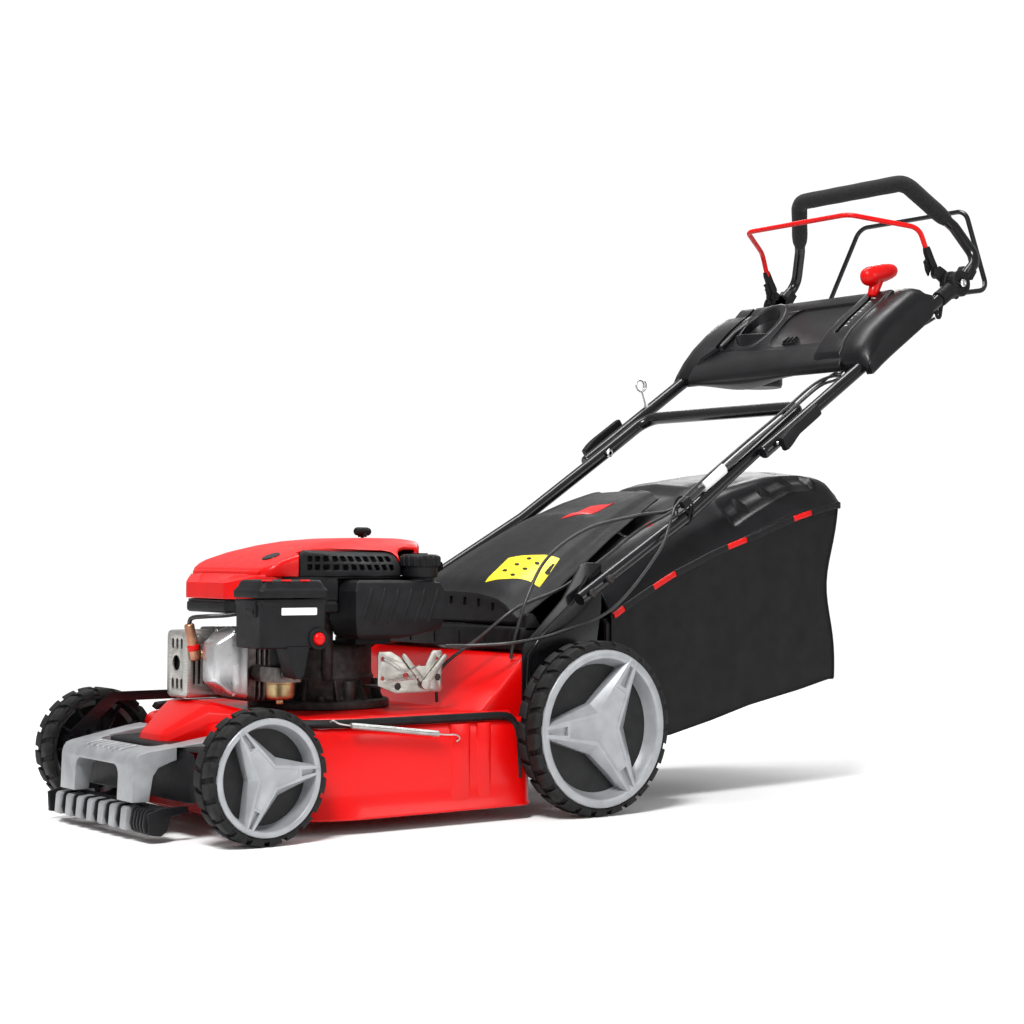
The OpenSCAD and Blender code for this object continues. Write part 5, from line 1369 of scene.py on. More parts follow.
def build_console_right_shroud():
    right = Shape()
    table = [(250, -8, 8, 186, 247), (252, -9, 14, 182, 247), (262, -9, 24, 178, 246),
             (280, -8, 34, 174, 244), (305, -8, 44, 140, 238), (345, -8, 50, 136, 236),
             (380, -8, 52, 134, 236), (402, -6, 51.4, 134, 236), (409, 0, 47, 136, 236),
             (411, 6, 40, 138, 236)]
    rows = []
    for s, n0, n1, y0, y1 in table:
        rows.append([on_tube(s, y, n) for y, n in
                     ((y1 - 3, n0), (y1, n0 + 4), (y1, n0 + 12), (y1 - 3, n1 - 22 * min((n1 - n0) / 60, 1)),
                      (y1 - 9, n1 - 9), (y1 - 20, n1 - 2), (y1 - 36, n1), (y0 + 5, n1), (y0, n1 - 4),
                      (y0, max(n0, n1 - 14)), (max(y0, 178), n0 + 6), (max(y0, 178), n0))])
    right.rings(rows)
    make("console_right_shroud", right, [SATIN_PLASTIC], "upper_handle", ["console"], bevel=(2.2, 3),
         smooth=50, cuts=[*tube_tunnels(), handle_box((300, 146, 0), (436, 154, 90))], angle=28)


def build_speed_scale_marks():
    scale = Shape()
    for k in range(9):
        s = 316 + k * 11
        n = lerp_table([(304, 47.2), (340, 51.2), (390, 52.6), (424, 55.2)], s)[0]
        w = 6 if k % 4 == 0 else 3.2
        scale.rings([[on_tube(s + a, -158 - b, n + 0.1 * c)
                      for a, b in ((0, 0), (1.6, 0), (1.6, w), (0, w))] for c in (-4, 3)])
    make("speed_scale_marks", scale, [WHITE], "upper_handle", ["console"], smooth=40)


def build_speed_knob():
    knob = Shape()
    knob.use(1).rod(V(1262, -150, 772), V(1279, -150, 846), 5, 20)
    knob.use(1).rod(V(1262, -152.6, 772), V(1262, -147.4, 772), 13, 28)
    knob.use(0)
    axis_points = [(1277, 838, 8, 7), (1277.6, 841, 10.4, 9), (1280, 850, 10.4, 9.4),
                   (1284, 860, 11.4, 10.6), (1287, 868, 12, 12)]
    rows = []
    for x, z, a, b in axis_points:
        rows.append([V(x + a * math.cos(t) * 0.94, -150 + b * math.sin(t), z - a * math.cos(t) * 0.3)
                     for t in (2 * math.pi * i / 32 for i in range(32))])
    knob.rings(rows)
    rows = []
    d = V(50, 0, 13).normalized()
    u = V(-13, 0, 50).normalized()
    for i, (t, h, w) in enumerate(((-11, 1.5, 1), (-10, 6, 5), (-6, 9.6, 8.6), (0, 11.6, 11), (8, 12.2, 12),
                                   (16, 11.4, 12), (22, 11.8, 12.4), (30, 11, 12), (37, 11.2, 12),
                                   (44, 10.4, 11.4), (52, 9.6, 10.4), (60, 8, 8.6), (65, 5.4, 5.6),
                                   (67.6, 1.4, 1.4))):
        c = V(1264, -150, 873) + d * (t * 1.1)
        rows.append([c + u * (1.42 * h * math.sin(q)) + V(0, 1.35 * w * math.cos(q), 0)
                     for q in (2 * math.pi * k / 28 for k in range(28))])
    knob.rings(rows)
    make("speed_knob", knob, [RED_PLASTIC, STEEL], "speed_lever", ["speed_lever"], smooth=60)


# ---- grip section ----
grip_pts = [V(1424, -226, 874), V(1468, -223, 914), V(1445, -190, 974), V(1381, -130, 1055)]


def build_grip_loop_tube():
    path = bent(grip_pts + mirrored(reversed(grip_pts)), 30, 10)
    loop = Shape().tube(path, 20, 28, up=(0.9, 0, 0.45))
    make("grip_loop_tube", loop, [BLACK_PAINT], "grip", ["grip_loop"], smooth=50)


def build_grip_fork_ends():
    fork = Shape()
    for sy in (-1, 1):
        for y0, y1 in ((229.6, 236), (203.4, 216.6)):
            fork.lathe([(4.2, y0), (22.4, y0), (23.4, y0 + 0.8), (23.4, y1 - 2.4), (21, y1),
                        (15, y1 + (0.4 if y0 > 220 else 0)), (13.6, y1 - 1), (4.2, y1 - 1)],
                       (GRIP_X, 0, GRIP_Z), (0, sy, 0), 56, loop=True)
        fork.prism_y(((1428, 886), (1441, 874), (1453, 890), (1440, 901)), sy * 205.4, sy * 235.6)
        fork.prism_y(((1427, 887), (1440, 876), (1420, 862), (1408, 874)), sy * 205.4, sy * 216)
        fork.prism_y(((1371, 880), (1373, 890), (1387, 897), (1400, 892), (1421, 880), (1413, 850),
                      (1395, 866)), sy * 203.4, sy * 208.2)
        fork.prism_y(((1419, 871), (1438, 858), (1440, 848), (1433, 842), (1411, 850)), sy * 203.4,
                     sy * 208.2)
        for x, z in ((1385, 884), (1430, 852)):
            fork.rod(V(x, sy * 193.4, z), V(x, sy * 203.8, z), 8, 28, 0.5)
    make("grip_fork_ends", fork, [BLACK_PLASTIC], "grip", ["grip_loop"], bevel=(0.9, 2), smooth=40)


def build_foam_grip_sleeve():
    foam_line = bent([V(1437, -182.5, 984.1), grip_pts[3], V(1381, 130, 1055), V(1437, 182.5, 984.1)], 30,
                     12)
    foam = Shape()
    dense = []
    for a, b in zip(foam_line, foam_line[1:]):
        k = max(int((b - a).length / 9), 1)
        dense += [a + (b - a) * j / k for j in range(k)]
    dense.append(foam_line[-1])
    total = len(dense)
    scale_at = [1 - 0.3 * math.exp(-min(i, total - 1 - i) * 1.1) * (1 if min(i, total - 1 - i) < 3 else 0)
                + 0.012 * math.sin(i * 0.9) for i in range(total)]
    foam.tube(dense, 30, 32, up=(0.9, 0, 0.45), scale=scale_at)
    foam_obj = make("foam_grip_sleeve", foam, [FOAM], "grip", ["foam_grip"], smooth=60)


def build_pivot_joint_housings():
    joint = Shape()
    for sy in (-1, 1):
        joint.lathe([(4.2, 217.3), (20.6, 217.3), (21.2, 218), (21.2, 228.4), (20.6, 228.9), (4.2, 228.9)],
                    (GRIP_X, 0, GRIP_Z), (0, sy, 0), 56, loop=True)
        for k in range(24):
            a = 2 * math.pi * k / 24
            c, s = math.cos(a), math.sin(a)
            joint.rings([[V(GRIP_X + r * c - w * s, sy * y, GRIP_Z + r * s + w * c) for r, y in
                          ((19.4, 218.4), (22, 218.8), (22, 227.8), (19.4, 228.2))] for w in (-1, 1)])
        joint.tube([on_tube(s, sy * 224, 0) for s in (484.6, 486, 490, 505, 516, 519, 520.6)], 29, 28,
                   up=(0, 1, 0), scale=[0.93, 0.99, 1, 1, 1, 0.99, 0.95])
        joint.rings([[on_tube(s, sy * y, n) for y, n in round_rect(217.9, 228.1, -9.8, 9.8, 2.5, 3)]
                     for s in (510, 540)])
        anchor = Shape()
        anchor.prism_y(((1366, 833), (1365, 826), (1371, 806), (1375, 802), (1381, 802), (1385, 807),
                        (1393, 845), (1386, 852), (1372, 842)), sy * 210.2, sy * 213.8)
        holes = Shape()
        for x, z, r in ((1377.4, 810, 2.2), (1377, 819, 2.2), (1378, 830, 2.8)):
            y0, y1 = sorted((sy * 205, sy * 220))
            holes.prism_y(circle(x, z, r, 16), y0, y1)
        make("cable_anchor_left" if sy < 0 else "cable_anchor_right", anchor, [BLACK_PLASTIC],
             "upper_handle", ["pivot_joints"], bevel=(0.5, 1), smooth=40, cuts=[holes])
    make("pivot_joint_housings", joint, [BLACK_PLASTIC], "upper_handle", ["pivot_joints"], bevel=(0.6, 2),
         smooth=40)


def build_stop_bail_rod():
    stop = Shape()
    stop_pts = [V(1366, -198, 916), V(1347, -194, 962), V(1241, -125, 983)]
    stop.tube(bent(stop_pts + mirrored(reversed(stop_pts)), 28, 11), 9, 20, up=(0.4, 0, 0.9))
    make("stop_bail_rod", stop, [RED_PLASTIC], "stop_bail", ["stop_bail"], smooth=60)


def build_stop_bail_holders():
    holder = Shape()
    for sy in (-1, 1):
        holder.lathe([(4.15, 195), (9, 195), (9, 203), (4.15, 203)], (1385, 0, 884), (0, sy, 0), 36,
                     loop=True)
        holder.sweep([V(1382.4, sy * 198, 890.5), V(1380, sy * 198, 895), V(1372, sy * 198, 908),
                      V(1364.4, sy * 198, 922), V(1361.6, sy * 198, 929)],
                     [(-4.9, -7.4), (4.7, -7.4), (4.9, 6.4), (-4.9, 6.4)], up=(1, 0, 0.4),
                     scale=[0.9, 1.05, 1.0, 0.95, 0.8])
        holder.prism_y(((1368, 878), (1376, 898), (1364, 911), (1357, 904), (1361, 888)), sy * 195,
                       sy * 199)
        for k in range(3):
            x, z = 1365 - k * 3.2, 884 + k * 8
            holder.rings([[V(x + a, sy * y, z + b) for a, b in ((0, 0), (4, 1), (3, 5), (-1, 4))]
                          for y in (193.6, 202)])
    make("stop_bail_holders", holder, [BLACK_PLASTIC], "stop_bail", ["stop_bail"], bevel=(0.9, 2),
         smooth=40)


def build_drive_bail_rod():
    drive = Shape()
    drive_pts = [V(1437, -198, 853.2), V(1527, -198, 868), V(1548.5, -130, 1023)]
    drive.tube(bent(drive_pts + mirrored(reversed(drive_pts)), 30, 12), 9, 20, up=(0.8, 0, -0.6))
    for sy in (-1, 1):
        drive.lathe([(4.15, 195), (8.6, 195), (9, 195.6), (9, 202.4), (8.6, 203), (4.15, 203)],
                    (1430, 0, 852), (0, sy, 0), 36, loop=True)
    make("drive_bail_rod", drive, [BLACK_PAINT], "drive_bail", ["drive_bail"], smooth=50)


# ---- flap, bag cover and bag ----
CROWN = [(-1, 1), (-0.88, 0.62), (-0.68, 0.26), (-0.4, 0.06), (0, 0), (0.4, 0.06), (0.68, 0.26),
         (0.88, 0.62), (1, 1)]


BOXY = [(-1, 1), (-0.95, 0.55), (-0.9, 0.3), (-0.8, 0.16), (-0.4, 0.04), (0, 0), (0.4, 0.04), (0.8, 0.16),
        (0.9, 0.3), (0.95, 0.55), (1, 1)]


flap_table = [(484, 322, 172, 36), (500, 346, 172, 48), (560, 380, 165, 48), (616, 411, 154, 44),
              (690, 448, 136, 36), (762, 477, 116, 28), (826, 494, 98, 12)]


cover_table = [(640, 396, 198, 108), (728, 437, 198, 104), (800, 470, 198, 107), (871, 497, 198, 107),
               (943, 515, 198, 101), (1047, 530, 198, 84), (1100, 532, 198, 76), (1132, 527, 197, 62),
               (1146, 516, 196, 50), (1150, 499, 194, 32)]


def smooth_table(table, x):
    """As lerp_table, rounded where the slope changes."""
    got = [lerp_table(table, x + d) for d in (-9, -4.5, 0, 4.5, 9)]
    return [sum(v) / 5 for v in zip(*got)]


def shell_z(table, x, y, lift=0.0):
    z, half, drop = smooth_table(table, x)
    c = max(-1, min(1, y / half))
    # the bag cover turns from a crowned section to a boxy one towards the rear
    boxy = max(0.0, min(1.0, (x - 900) / 140)) if table is cover_table else 0.0
    samples = [(1 - boxy) * lerp_table(CROWN, v)[0] + boxy * lerp_table(BOXY, v)[0]
               for v in (max(-1, min(1, c + d)) for d in (-0.04, 0, 0.04))]
    return z + lift - drop * sum(samples) / 3


def crowned(shape, table, xs, thickness, across=28, sink=None):
    """Two-skinned crowned shell; sink(x, y) lowers its top for pressed fields."""
    rows = []
    for x in xs:
        half = smooth_table(table, x)[1]
        cs = [math.sin(math.pi / 2 * (2 * k / across - 1)) * 0.35 + (2 * k / across - 1) * 0.65
              for k in range(across + 1)]
        up = [V(x, half * c, shell_z(table, x, half * c) + (sink(x, half * c) if sink else 0)) for c in cs]
        down = [V(p.x, p.y * (half - thickness) / half, p.z - thickness) for p in up]
        rows.append(up + down[::-1])
    shape.rings(rows)


def rim_field(d, width=6.0):
    """0 outside a pressed field and 1 well inside it."""
    return max(0.0, min(1.0, d / width))


def flap_sink(x, y):
    half = smooth_table(flap_table, x)[1]
    dip = 0.0
    # raised central panel with bevelled flanks that narrows towards the rear
    panel = half * 0.80
    dip -= 4.2 * rim_field(abs(y) - panel, 7)
    if x > 690:
        dip -= 3.0 * rim_field(x - 700, 10) * rim_field(panel - 26 - abs(y), 8)
    return dip


def build_flap_shell():
    flap = Shape()
    crowned(flap, flap_table, [484, 486, 490, 495, 500, 510, 525, 545, 565, 590, 615, 640, 665, 686, 694,
                               702, 715, 740, 765, 790, 810, 822, 826], 4.4, 40, flap_sink)
    make("flap_shell", flap, [BLACK_PLASTIC], "rear_flap", ["rear_flap"], smooth=40, bevel=(0.8, 2),
         angle=60)


def build_flap_front_edge():
    front = Shape()
    slots = Shape()
    rows = []
    for k in range(69):
        y = -170 + k * 5
        t = max(shell_z(flap_table, 484, y) + flap_sink(484, y), 291)
        mid = min(300, (284 + t) / 2)
        rows.append([V(x, y, z) for x, z in ((482.6, 283), (481.4, mid), (481.6, t - 4), (483, t - 1),
                                             (489, t - 1), (489, mid), (491, 283))])
    front.rings(rows)
    for k in range(9):
        y = -144 + k * 36
        t = shell_z(flap_table, 484, y)
        slots.box((476, y - 4, max(t - 19, 289)), (485.5, y + 4, t - 7))
    make("flap_front_edge", front, [BLACK_PLASTIC], "rear_flap", ["rear_flap"], bevel=(0.6, 2), smooth=45,
         cuts=[slots])


def build_flap_hinge_barrel():
    barrel = Shape()
    barrel.rod(V(490, -169.6, 284), V(490, 169.6, 284), 14, 32, 1)
    make("flap_hinge_barrel", barrel, [BLACK_PLASTIC], "rear_flap", ["rear_flap"], smooth=45)


def patch(name, corners, material, surface, body, node, lift=0.5, n=10, slot="black_plastic"):
    """A thin plate laid on a surface between four (x, y) corners."""
    shape = Shape()
    rows = []
    for i in range(n + 1):
        row = []
        for j in range(n + 1):
            u, v = i / n, j / n
            x, y = ((1 - u) * ((1 - v) * a + v * d) + u * ((1 - v) * b + v * c)
                    for a, b, c, d in zip(*corners))
            row.append(V(x, y, surface(x, y) + lift))
        rows.append(row + [V(p.x, p.y, p.z - lift - 0.6) for p in row[::-1]])
    shape.rings(rows)
    return make(name, shape, [material], body, [node], smooth=50, slot=slot)


def flap_top(x, y):
    return shell_z(flap_table, x, y) + flap_sink(x, y)


def build_flap_label_blank():
    patch("flap_label_blank", [(560, -44), (596, -127), (541, -147), (500, -64)], YELLOW, flap_top,
          "rear_flap", "rear_flap", 0.45)


def build_flap_label_marks():
    prints = Shape()
    for i in range(3):
        for j in range(2):
            x, y = 530 + i * 19 - j * 3, -74 - j * 24 - i * 6
            prints.rings([[V(x + 3.2 * math.cos(a) * s, y + 5.5 * math.sin(a) * s,
                             flap_top(x + 3.2 * math.cos(a) * s, y + 5.5 * math.sin(a) * s) + z)
                           for a in (math.pi * k / 3 + 0.3 * i for k in range(6))]
                          for s, z in ((1, 0.3), (1, 0.8))])
    make("flap_label_marks", prints, [BLACK_PLASTIC], "rear_flap", ["rear_flap"], smooth=40)


def cover_sink(x, y):
    half = smooth_table(cover_table, x)[1]
    dip = 0.0
    c = abs(y) / half
    # pressed hand recess along each top edge, and a wide shallow field in the middle
    if 905 < x < 1105:
        across = rim_field(abs(y) - 143, 9) * rim_field(184 - abs(y), 6)
        dip -= 9.0 * rim_field(x - 908, 8) * rim_field(1103 - x, 8) * across
    if 725 < x < 905:
        inner = 132 - 0.14 * (x - 728)
        dip -= 11.0 * rim_field(x - 728, 14) * rim_field(900 - x, 22) * rim_field(inner - abs(y), 10)
    if 930 < x < 1085:
        dip -= 2.4 * rim_field(x - 935, 6) * rim_field(1080 - x, 6) * rim_field(126 - abs(y), 6)
    # panel line along the flank
    if c > 0.9:
        dip += 1.4 * rim_field(c - 0.9, 0.04)
    return dip


def build_bag_cover_shell():
    cover = Shape()
    xs = [640, 642, 648, 660, 675, 690, 705, 718, 724, 728, 732, 738, 745, 755, 770, 785, 800, 815, 830,
          845, 860, 872, 880, 888, 895, 901, 905, 909, 914, 920, 927, 932, 936, 940, 947, 960, 975, 990,
          1005, 1020, 1035, 1050, 1065, 1075, 1080, 1084, 1088, 1094, 1098, 1102, 1107, 1114, 1122, 1130,
          1137, 1142, 1146, 1148.6, 1150]
    crowned(cover, cover_table, xs, 4, 64, cover_sink)
    make("bag_cover_shell", cover, [SATIN_PLASTIC], "grass_bag", ["bag_cover"], smooth=42, bevel=(0.8, 2),
         angle=65)


def cover_top(x, y):
    return shell_z(cover_table, x, y) + cover_sink(x, y)


def build_bag_cover_recess_fins():
    fins = Shape()
    for sy in (-1, 1):
        for x0 in (930, 985, 1038):
            tri = [(x0, 178), (x0 + 8, 148), (x0 + 30, 170), (x0 + 26, 180)]
            low = [V(x, sy * y, cover_top(x, sy * y) - 2) for x, y in tri]
            high = [V(x0 + 10, sy * 152, cover_top(x0 + 10, sy * 152) + 9),
                    V(x0 + 11, sy * 150, cover_top(x0 + 11, sy * 150) + 9),
                    V(x0 + 14, sy * 152, cover_top(x0 + 14, sy * 152) + 8),
                    V(x0 + 11, sy * 156, cover_top(x0 + 11, sy * 156) + 8)]
            fins.rings([low, [high[3], high[0], high[1], high[2]]])
    make("bag_cover_recess_fins", fins, [BLACK_PLASTIC], "grass_bag", ["bag_cover"], smooth=30,
         bevel=(0.7, 1))


# channel that carries the cloth's hem along both flanks and round the rear, in lengths with red clips between
edge_line = [(640, 288), (668, 305), (700, 322), (728, 335.5), (765, 354), (800, 367), (850, 387),
             (899, 403), (943, 416), (1000, 436), (1047, 450), (1090, 461), (1120, 468), (1138, 470.5)]


def edge_point(x):
    z = [lerp_table(edge_line, x + d)[0] for d in (-8, 0, 8)]
    return sum(z) / 3


def build_bag_rim_channel():
    channel_section = [(-1.6, -5.2), (2.4, -5.4), (3.2, -4), (3.2, 3.6), (2.2, 5), (-1.6, 5.2)]
    clip_spans = [(644, 664), (724, 770), (882, 924), (1031, 1073)]
    rail_spans = [(664, 724), (770, 882), (924, 1031), (1073, 1136)]
    channel, clips = Shape(), Shape()
    for sy in (-1, 1):
        for shape, spans, grow, out in ((channel, rail_spans, 1.0, 200.2),
                                        (clips, clip_spans, 0.84, 199.8)):
            for x0, x1 in spans:
                n = max(int((x1 - x0) / 9), 3)
                path = [V(x, sy * out, edge_point(x))
                        for x in (x0 + (x1 - x0) * k / n for k in range(n + 1))]
                shape.sweep(path, [(-sy * a * grow, b * grow) for a, b in channel_section], up=(-0.4, 0, 1))
    corner = []
    for k in range(13):
        a = math.pi / 2 * k / 12
        corner.append(V(1134 + 14 * math.sin(a), -186 - 14.2 * math.cos(a), 470.5 + 0.5 * math.sin(a)))
    rear_path = corner + [V(1148.4, y, 471.2) for y in (-150, -75, 0, 75, 150)] + mirrored(reversed(corner))
    channel.sweep(rear_path, [(a, b * 1.1) for a, b in channel_section], up=(0, 0, 1))
    make("bag_rim_channel", channel, [BLACK_PLASTIC], "grass_bag", ["bag_cover"], bevel=(0.7, 2), smooth=40)
    make("bag_rim_clips", clips, [RED_PLASTIC], "grass_bag", ["bag_cover"], bevel=(0.6, 2), smooth=40)


def build_bag_cover_flank():
    skirt = Shape()
    for sy in (-1, 1):
        rows = []
        for x in (640, 668, 700, 728, 765, 800, 850, 899, 943, 1000, 1047, 1090, 1120, 1144):
            z_top = shell_z(cover_table, x, sy * 198) + 2.5
            z_low = edge_point(x) - 3
            z_low = min(z_low, z_top - 4)
            rows.append([V(x, sy * y, z) for y, z in ((198.4, z_top), (199, (z_top + z_low) / 2),
                                                      (199, z_low), (196.4, z_low), (196.4, z_top))])
        skirt.rings(rows)
    rows = []
    for k in range(39):
        y = -190 + 10 * k
        z_top = max(shell_z(cover_table, 1148, y) - 1, 474)
        rows.append([V(x, y, z) for x, z in ((1149.6, z_top), (1150.4, (z_top + 470) / 2), (1149.6, 467),
                                             (1146.6, 467), (1146.6, z_top))])
    skirt.rings(rows)
    make("bag_cover_flank", skirt, [SATIN_PLASTIC], "grass_bag", ["bag_cover"], bevel=(0.5, 1), smooth=45)


def build_flap_red_accent():
    patch("flap_red_accent", [(680, -26), (736, -31), (755, -70), (709, -64)], RED_PLASTIC, flap_top,
          "rear_flap", "rear_flap", 0.7, 8, "red_plastic")


def build_bag_cover_accents():
    for sy, word in ((-1, "left"), (1, "right")):
        patch(f"bag_cover_accent_{word}", [(742, sy * 121), (784, sy * 127), (782, sy * 134),
                                           (739, sy * 128)], RED_PLASTIC, cover_top, "grass_bag",
              "bag_cover", 1.0, 6, "red_plastic")


# the bag: one sewn sheet, made as a box with crowned, sagging faces and pulled-in seams
bag_low = [(634, 112), (700, 103), (757, 97), (850, 117), (934, 138), (1049, 159), (1118, 174)]


def bag_ring(f):
    """Cross-section of the bag at fraction f from the mouth (0) to the rear (1)."""
    x_top = 642 + (1140 - 642) * f
    x_low = 640 + (1130 - 640) * f
    z_top = edge_point(min(x_top, 1136)) - 4
    z_low = lerp_table(bag_low, x_low)[0]
    pull = math.sin(math.pi * min(max(f, 0), 1))
    ring = []
    side_n, floor_n = 16, 22
    for k in range(side_n + 1):
        t = k / side_n
        z = z_top + (z_low + 7 - z_top) * t
        x = x_top + (x_low - x_top) * t
        sag = math.sin(math.pi * t)
        # the cloth draws in below the rim, swells lower down and folds gently
        y = 197.6 - 3.0 * sag * pull - 4.6 * math.exp(-((t - 0.12) / 0.1) ** 2) * pull + 3.2 * sag * t
        fold = (1.5 * math.sin(0.05 * x + 2.2 * t + 1.3 * math.sin(0.013 * x))
                + 2.1 * noise.noise(V(x * 0.009, t * 2.6, 3.1))) * sag
        y += fold * min(pull * 2, 1)
        x_in = -26 * math.exp(-((t - 0.45) / 0.28) ** 2) * max(f - 0.55, 0) / 0.45
        ring.append((x + x_in, -min(y, 199.4), z))
    for k in range(1, floor_n):
        t = k / floor_n
        y = -193 + 386 * t
        dip = math.sin(math.pi * t)
        x_in = -4 * max(f - 0.7, 0) / 0.3
        ring.append((x_low + x_in, y, z_low + 1 - 3.5 * dip * pull
                     + 1.6 * noise.noise(V(x_low * 0.012, y * 0.012, 7.7)) * dip))
    left_side = ring[:side_n + 1]
    ring += [(x, -y + 1.2 * noise.noise(V(x * 0.01, z * 0.01, 1.9)) - 0.6, z)
             for x, y, z in reversed(left_side)]
    return [V(*p) for p in ring]


def build_bag_cloth():
    rows = []
    bag = Shape()
    fractions = [k / 44 for k in range(45)]
    open_rings = [bag_ring(f) for f in fractions]
    for f, shrink in ((1.004, 0.985), (1.008, 0.955)):
        last = bag_ring(1.0)
        mid = V(last[0].x, 0, 320)
        open_rings.append([V(p.x + 3.6 * (f - 1) / 0.008, p.y * shrink,
                             mid.z + (p.z - mid.z) * (shrink + 0.006)) for p in last])
    bag.rings(open_rings, caps=False, closed=False)
    # rear panel: a grid that bows outwards at its foot and inwards below the rim
    rim_ring = open_rings[-1]
    half_n = 17
    left_pts, right_pts = rim_ring[:half_n], rim_ring[-half_n:][::-1]
    rear_rows = []
    for a, b in zip(left_pts, right_pts):
        row = []
        for k in range(25):
            t = k / 24
            p = a.lerp(b, t)
            bow = math.sin(math.pi * t)
            hgt = (p.z - 175) / 300
            ripple = 1.4 * noise.noise(V(p.y * 0.012, p.z * 0.012, 9.3))
            p.x += bow * (2.5 - 9 * math.exp(-((hgt - 0.55) / 0.3) ** 2) + ripple)
            row.append(p)
        rear_rows.append(row)
    bag.rings(rear_rows, caps=False, closed=False)
    cloth = make("bag_cloth", bag, [CLOTH], "grass_bag", ["bag_fabric"], smooth=70, solidify=(1.1, -1),
                 merge=True)
    seams = Shape()
    for sy in (-1, 1):
        path = [V(p.x, p.y * 1.002, p.z) for p in (ring[16] if sy < 0 else ring[-17]
                                                   for ring in open_rings[:45])]
        seams.tube([V(p.x, sy * (abs(p.y) - 0.4), p.z - 0.6) for p in path], 3.4, 8, up=(0, 0, 1))
        edge = [open_rings[44][k] if sy < 0 else open_rings[44][-1 - k] for k in range(17)]
        seams.tube([V(p.x + 0.8, sy * (abs(p.y) - 0.2), p.z) for p in edge], 3.2, 8, up=(0, 1, 0))
    make("bag_seam_piping", seams, [CLOTH], "grass_bag", ["bag_fabric"], smooth=60)


def build_bag_mouth_frame():
    mouth = Shape()
    ring = [V(636, y, z) for y, z in round_rect(-192, 192, 116, 286, 12, 5)]
    mouth.rings([[V(x, y * s, 200 + (z - 200) * s) for _, y, z in ring]
                 for x, s in ((634, 1.0), (634, 1.012), (644, 1.012), (644, 0.99), (640, 0.97),
                              (636, 0.97))], loop=True)
    make("bag_mouth_frame", mouth, [BLACK_PLASTIC], "grass_bag", ["bag_fabric"], bevel=(0.8, 2), smooth=45)


# ---- cables, tag sleeve, tie clip and spring ----
def build_control_cables():
    stop_route = [on_tube(484, -206, -22), on_tube(462, -190, -24), on_tube(425, -166, -12),
                  on_tube(300, -166, -8), on_tube(250, -172, -8), on_tube(215, -190, 8),
                  on_tube(150, -203, 17), on_tube(60, -206, 17), on_tube(-60, -206, 18), V(774, -204, 462),
                  V(700, -190, 446), V(610, -177, 424), V(530, -181, 380), V(486, -188, 322),
                  V(464, -187, 262), V(459, -183, 230)]
    drive_route = [on_tube(480, -204, -32), on_tube(458, -182, -34), on_tube(425, -159, -14),
                   on_tube(300, -159, -8), on_tube(248, -166, -14), on_tube(212, -190, -2),
                   on_tube(150, -213, 19), on_tube(60, -213, 19), on_tube(-60, -213, 19), V(771, -213, 463),
                   V(700, -196, 424), V(640, -190, 384), V(560, -184, 336), V(500, -178, 314),
                   V(466, -172, 298), V(430, -148, 262), V(384, -112, 214), V(380, -106, 164)]
    throttle_route = [on_tube(356, -170, -16), on_tube(300, -168, -17), on_tube(245, -176, -20),
                      on_tube(212, -196, 6), on_tube(150, -209, 26), on_tube(60, -209, 26),
                      on_tube(-60, -209, 27), V(768, -216, 471), V(735, -230, 442), V(700, -238, 388),
                      V(610, -238, 304), V(520, -218, 268), V(450, -216, 256), V(416, -196, 252),
                      V(384, -170, 250), V(356, -161, 250)]
    fold_start, fold_end = (0.165, -0.208, 0.52), (0.33, -0.208, 0.62)
    for name, route in (("stop_cable", stop_route), ("drive_cable", drive_route),
                        ("throttle_cable", throttle_route)):
        cable = Shape()
        cable.tube(spline(route, 9), 5, 14, up=(0.1, 1, 0.2))
        obj = make(name, cable, [RUBBER], None, (), smooth=60)
        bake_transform(obj)
        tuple(fold_end)
        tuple(fold_start)
        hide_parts("control_cables")


def build_cable_tag_sleeve_blank():
    sleeve = Shape()
    handle_up = V(-math.sin(HANDLE), 0, math.cos(HANDLE))
    a, b = on_tube(-160, -209.4, 18.6), on_tube(-106, -209.4, 18.6)
    sleeve.rings([[p + V(0, math.cos(t) * 9.4, 0) + handle_up * (math.sin(t) * 10)
                   for t in (2 * math.pi * k / 24 for k in range(24))] for p in (a, a.lerp(b, 0.5), b)])
    make("cable_tag_sleeve_blank", sleeve, [WHITE], "chassis", smooth=50)


def build_cable_tie_clip():
    tie = Shape()
    tie_centre = on_tube(-216, -209, 10)
    for i in range(2):
        turn = [2 * math.pi * k / 32 for k in range(33)]
        tie.tube([tie_centre + V(i * 7 - 3.6 * math.cos(t), math.cos(t) * 14.6, math.sin(t) * 22)
                  for t in turn], 3.4, 8, up=(1, 0, 0.4))
    tie.rings([[on_tube(s, y, n) for s, y in round_rect(-224, -206, -230, -219, 2, 3)] for n in (18, 30)])
    make("cable_tie_clip", tie, [BLACK_PLASTIC], "chassis", smooth=50, bevel=(0.4, 1))


def build_balance_spring_coil():
    spring = Shape()
    p, q = V(140, -244.6, 150), V(285, -244.6, 132)
    axis = (q - p).normalized()
    side = V(0, 1, 0)
    turn_up = axis.cross(side)
    coil = []
    turns, per = 62, 12
    for i in range(turns * per + 1):
        t = 2 * math.pi * i / per
        along = p + axis * ((q - p).length * i / (turns * per))
        coil.append(along + side * (3.5 * math.cos(t)) + turn_up * (3.5 * math.sin(t)))
    spring.tube(coil, 2.1, 6, up=(0.12, 0.0, 1))
    spring.tube(spline([V(110, -238, 156), V(113, -242.5, 158), V(120, -244.6, 154), V(132, -244.6, 151.4),
                        V(142, -244.6, 150)], 6), 2.3, 8, up=(0, 1, 0))
    spring.tube(spline([V(283, -244.6, 132), V(300, -244.6, 130), V(316, -244, 129), V(324, -242, 124),
                        V(321, -238.5, 119)], 6), 2.3, 8, up=(0, 1, 0))
    make("balance_spring_coil", spring, [STEEL], "chassis", ["balance_spring"], smooth=60)


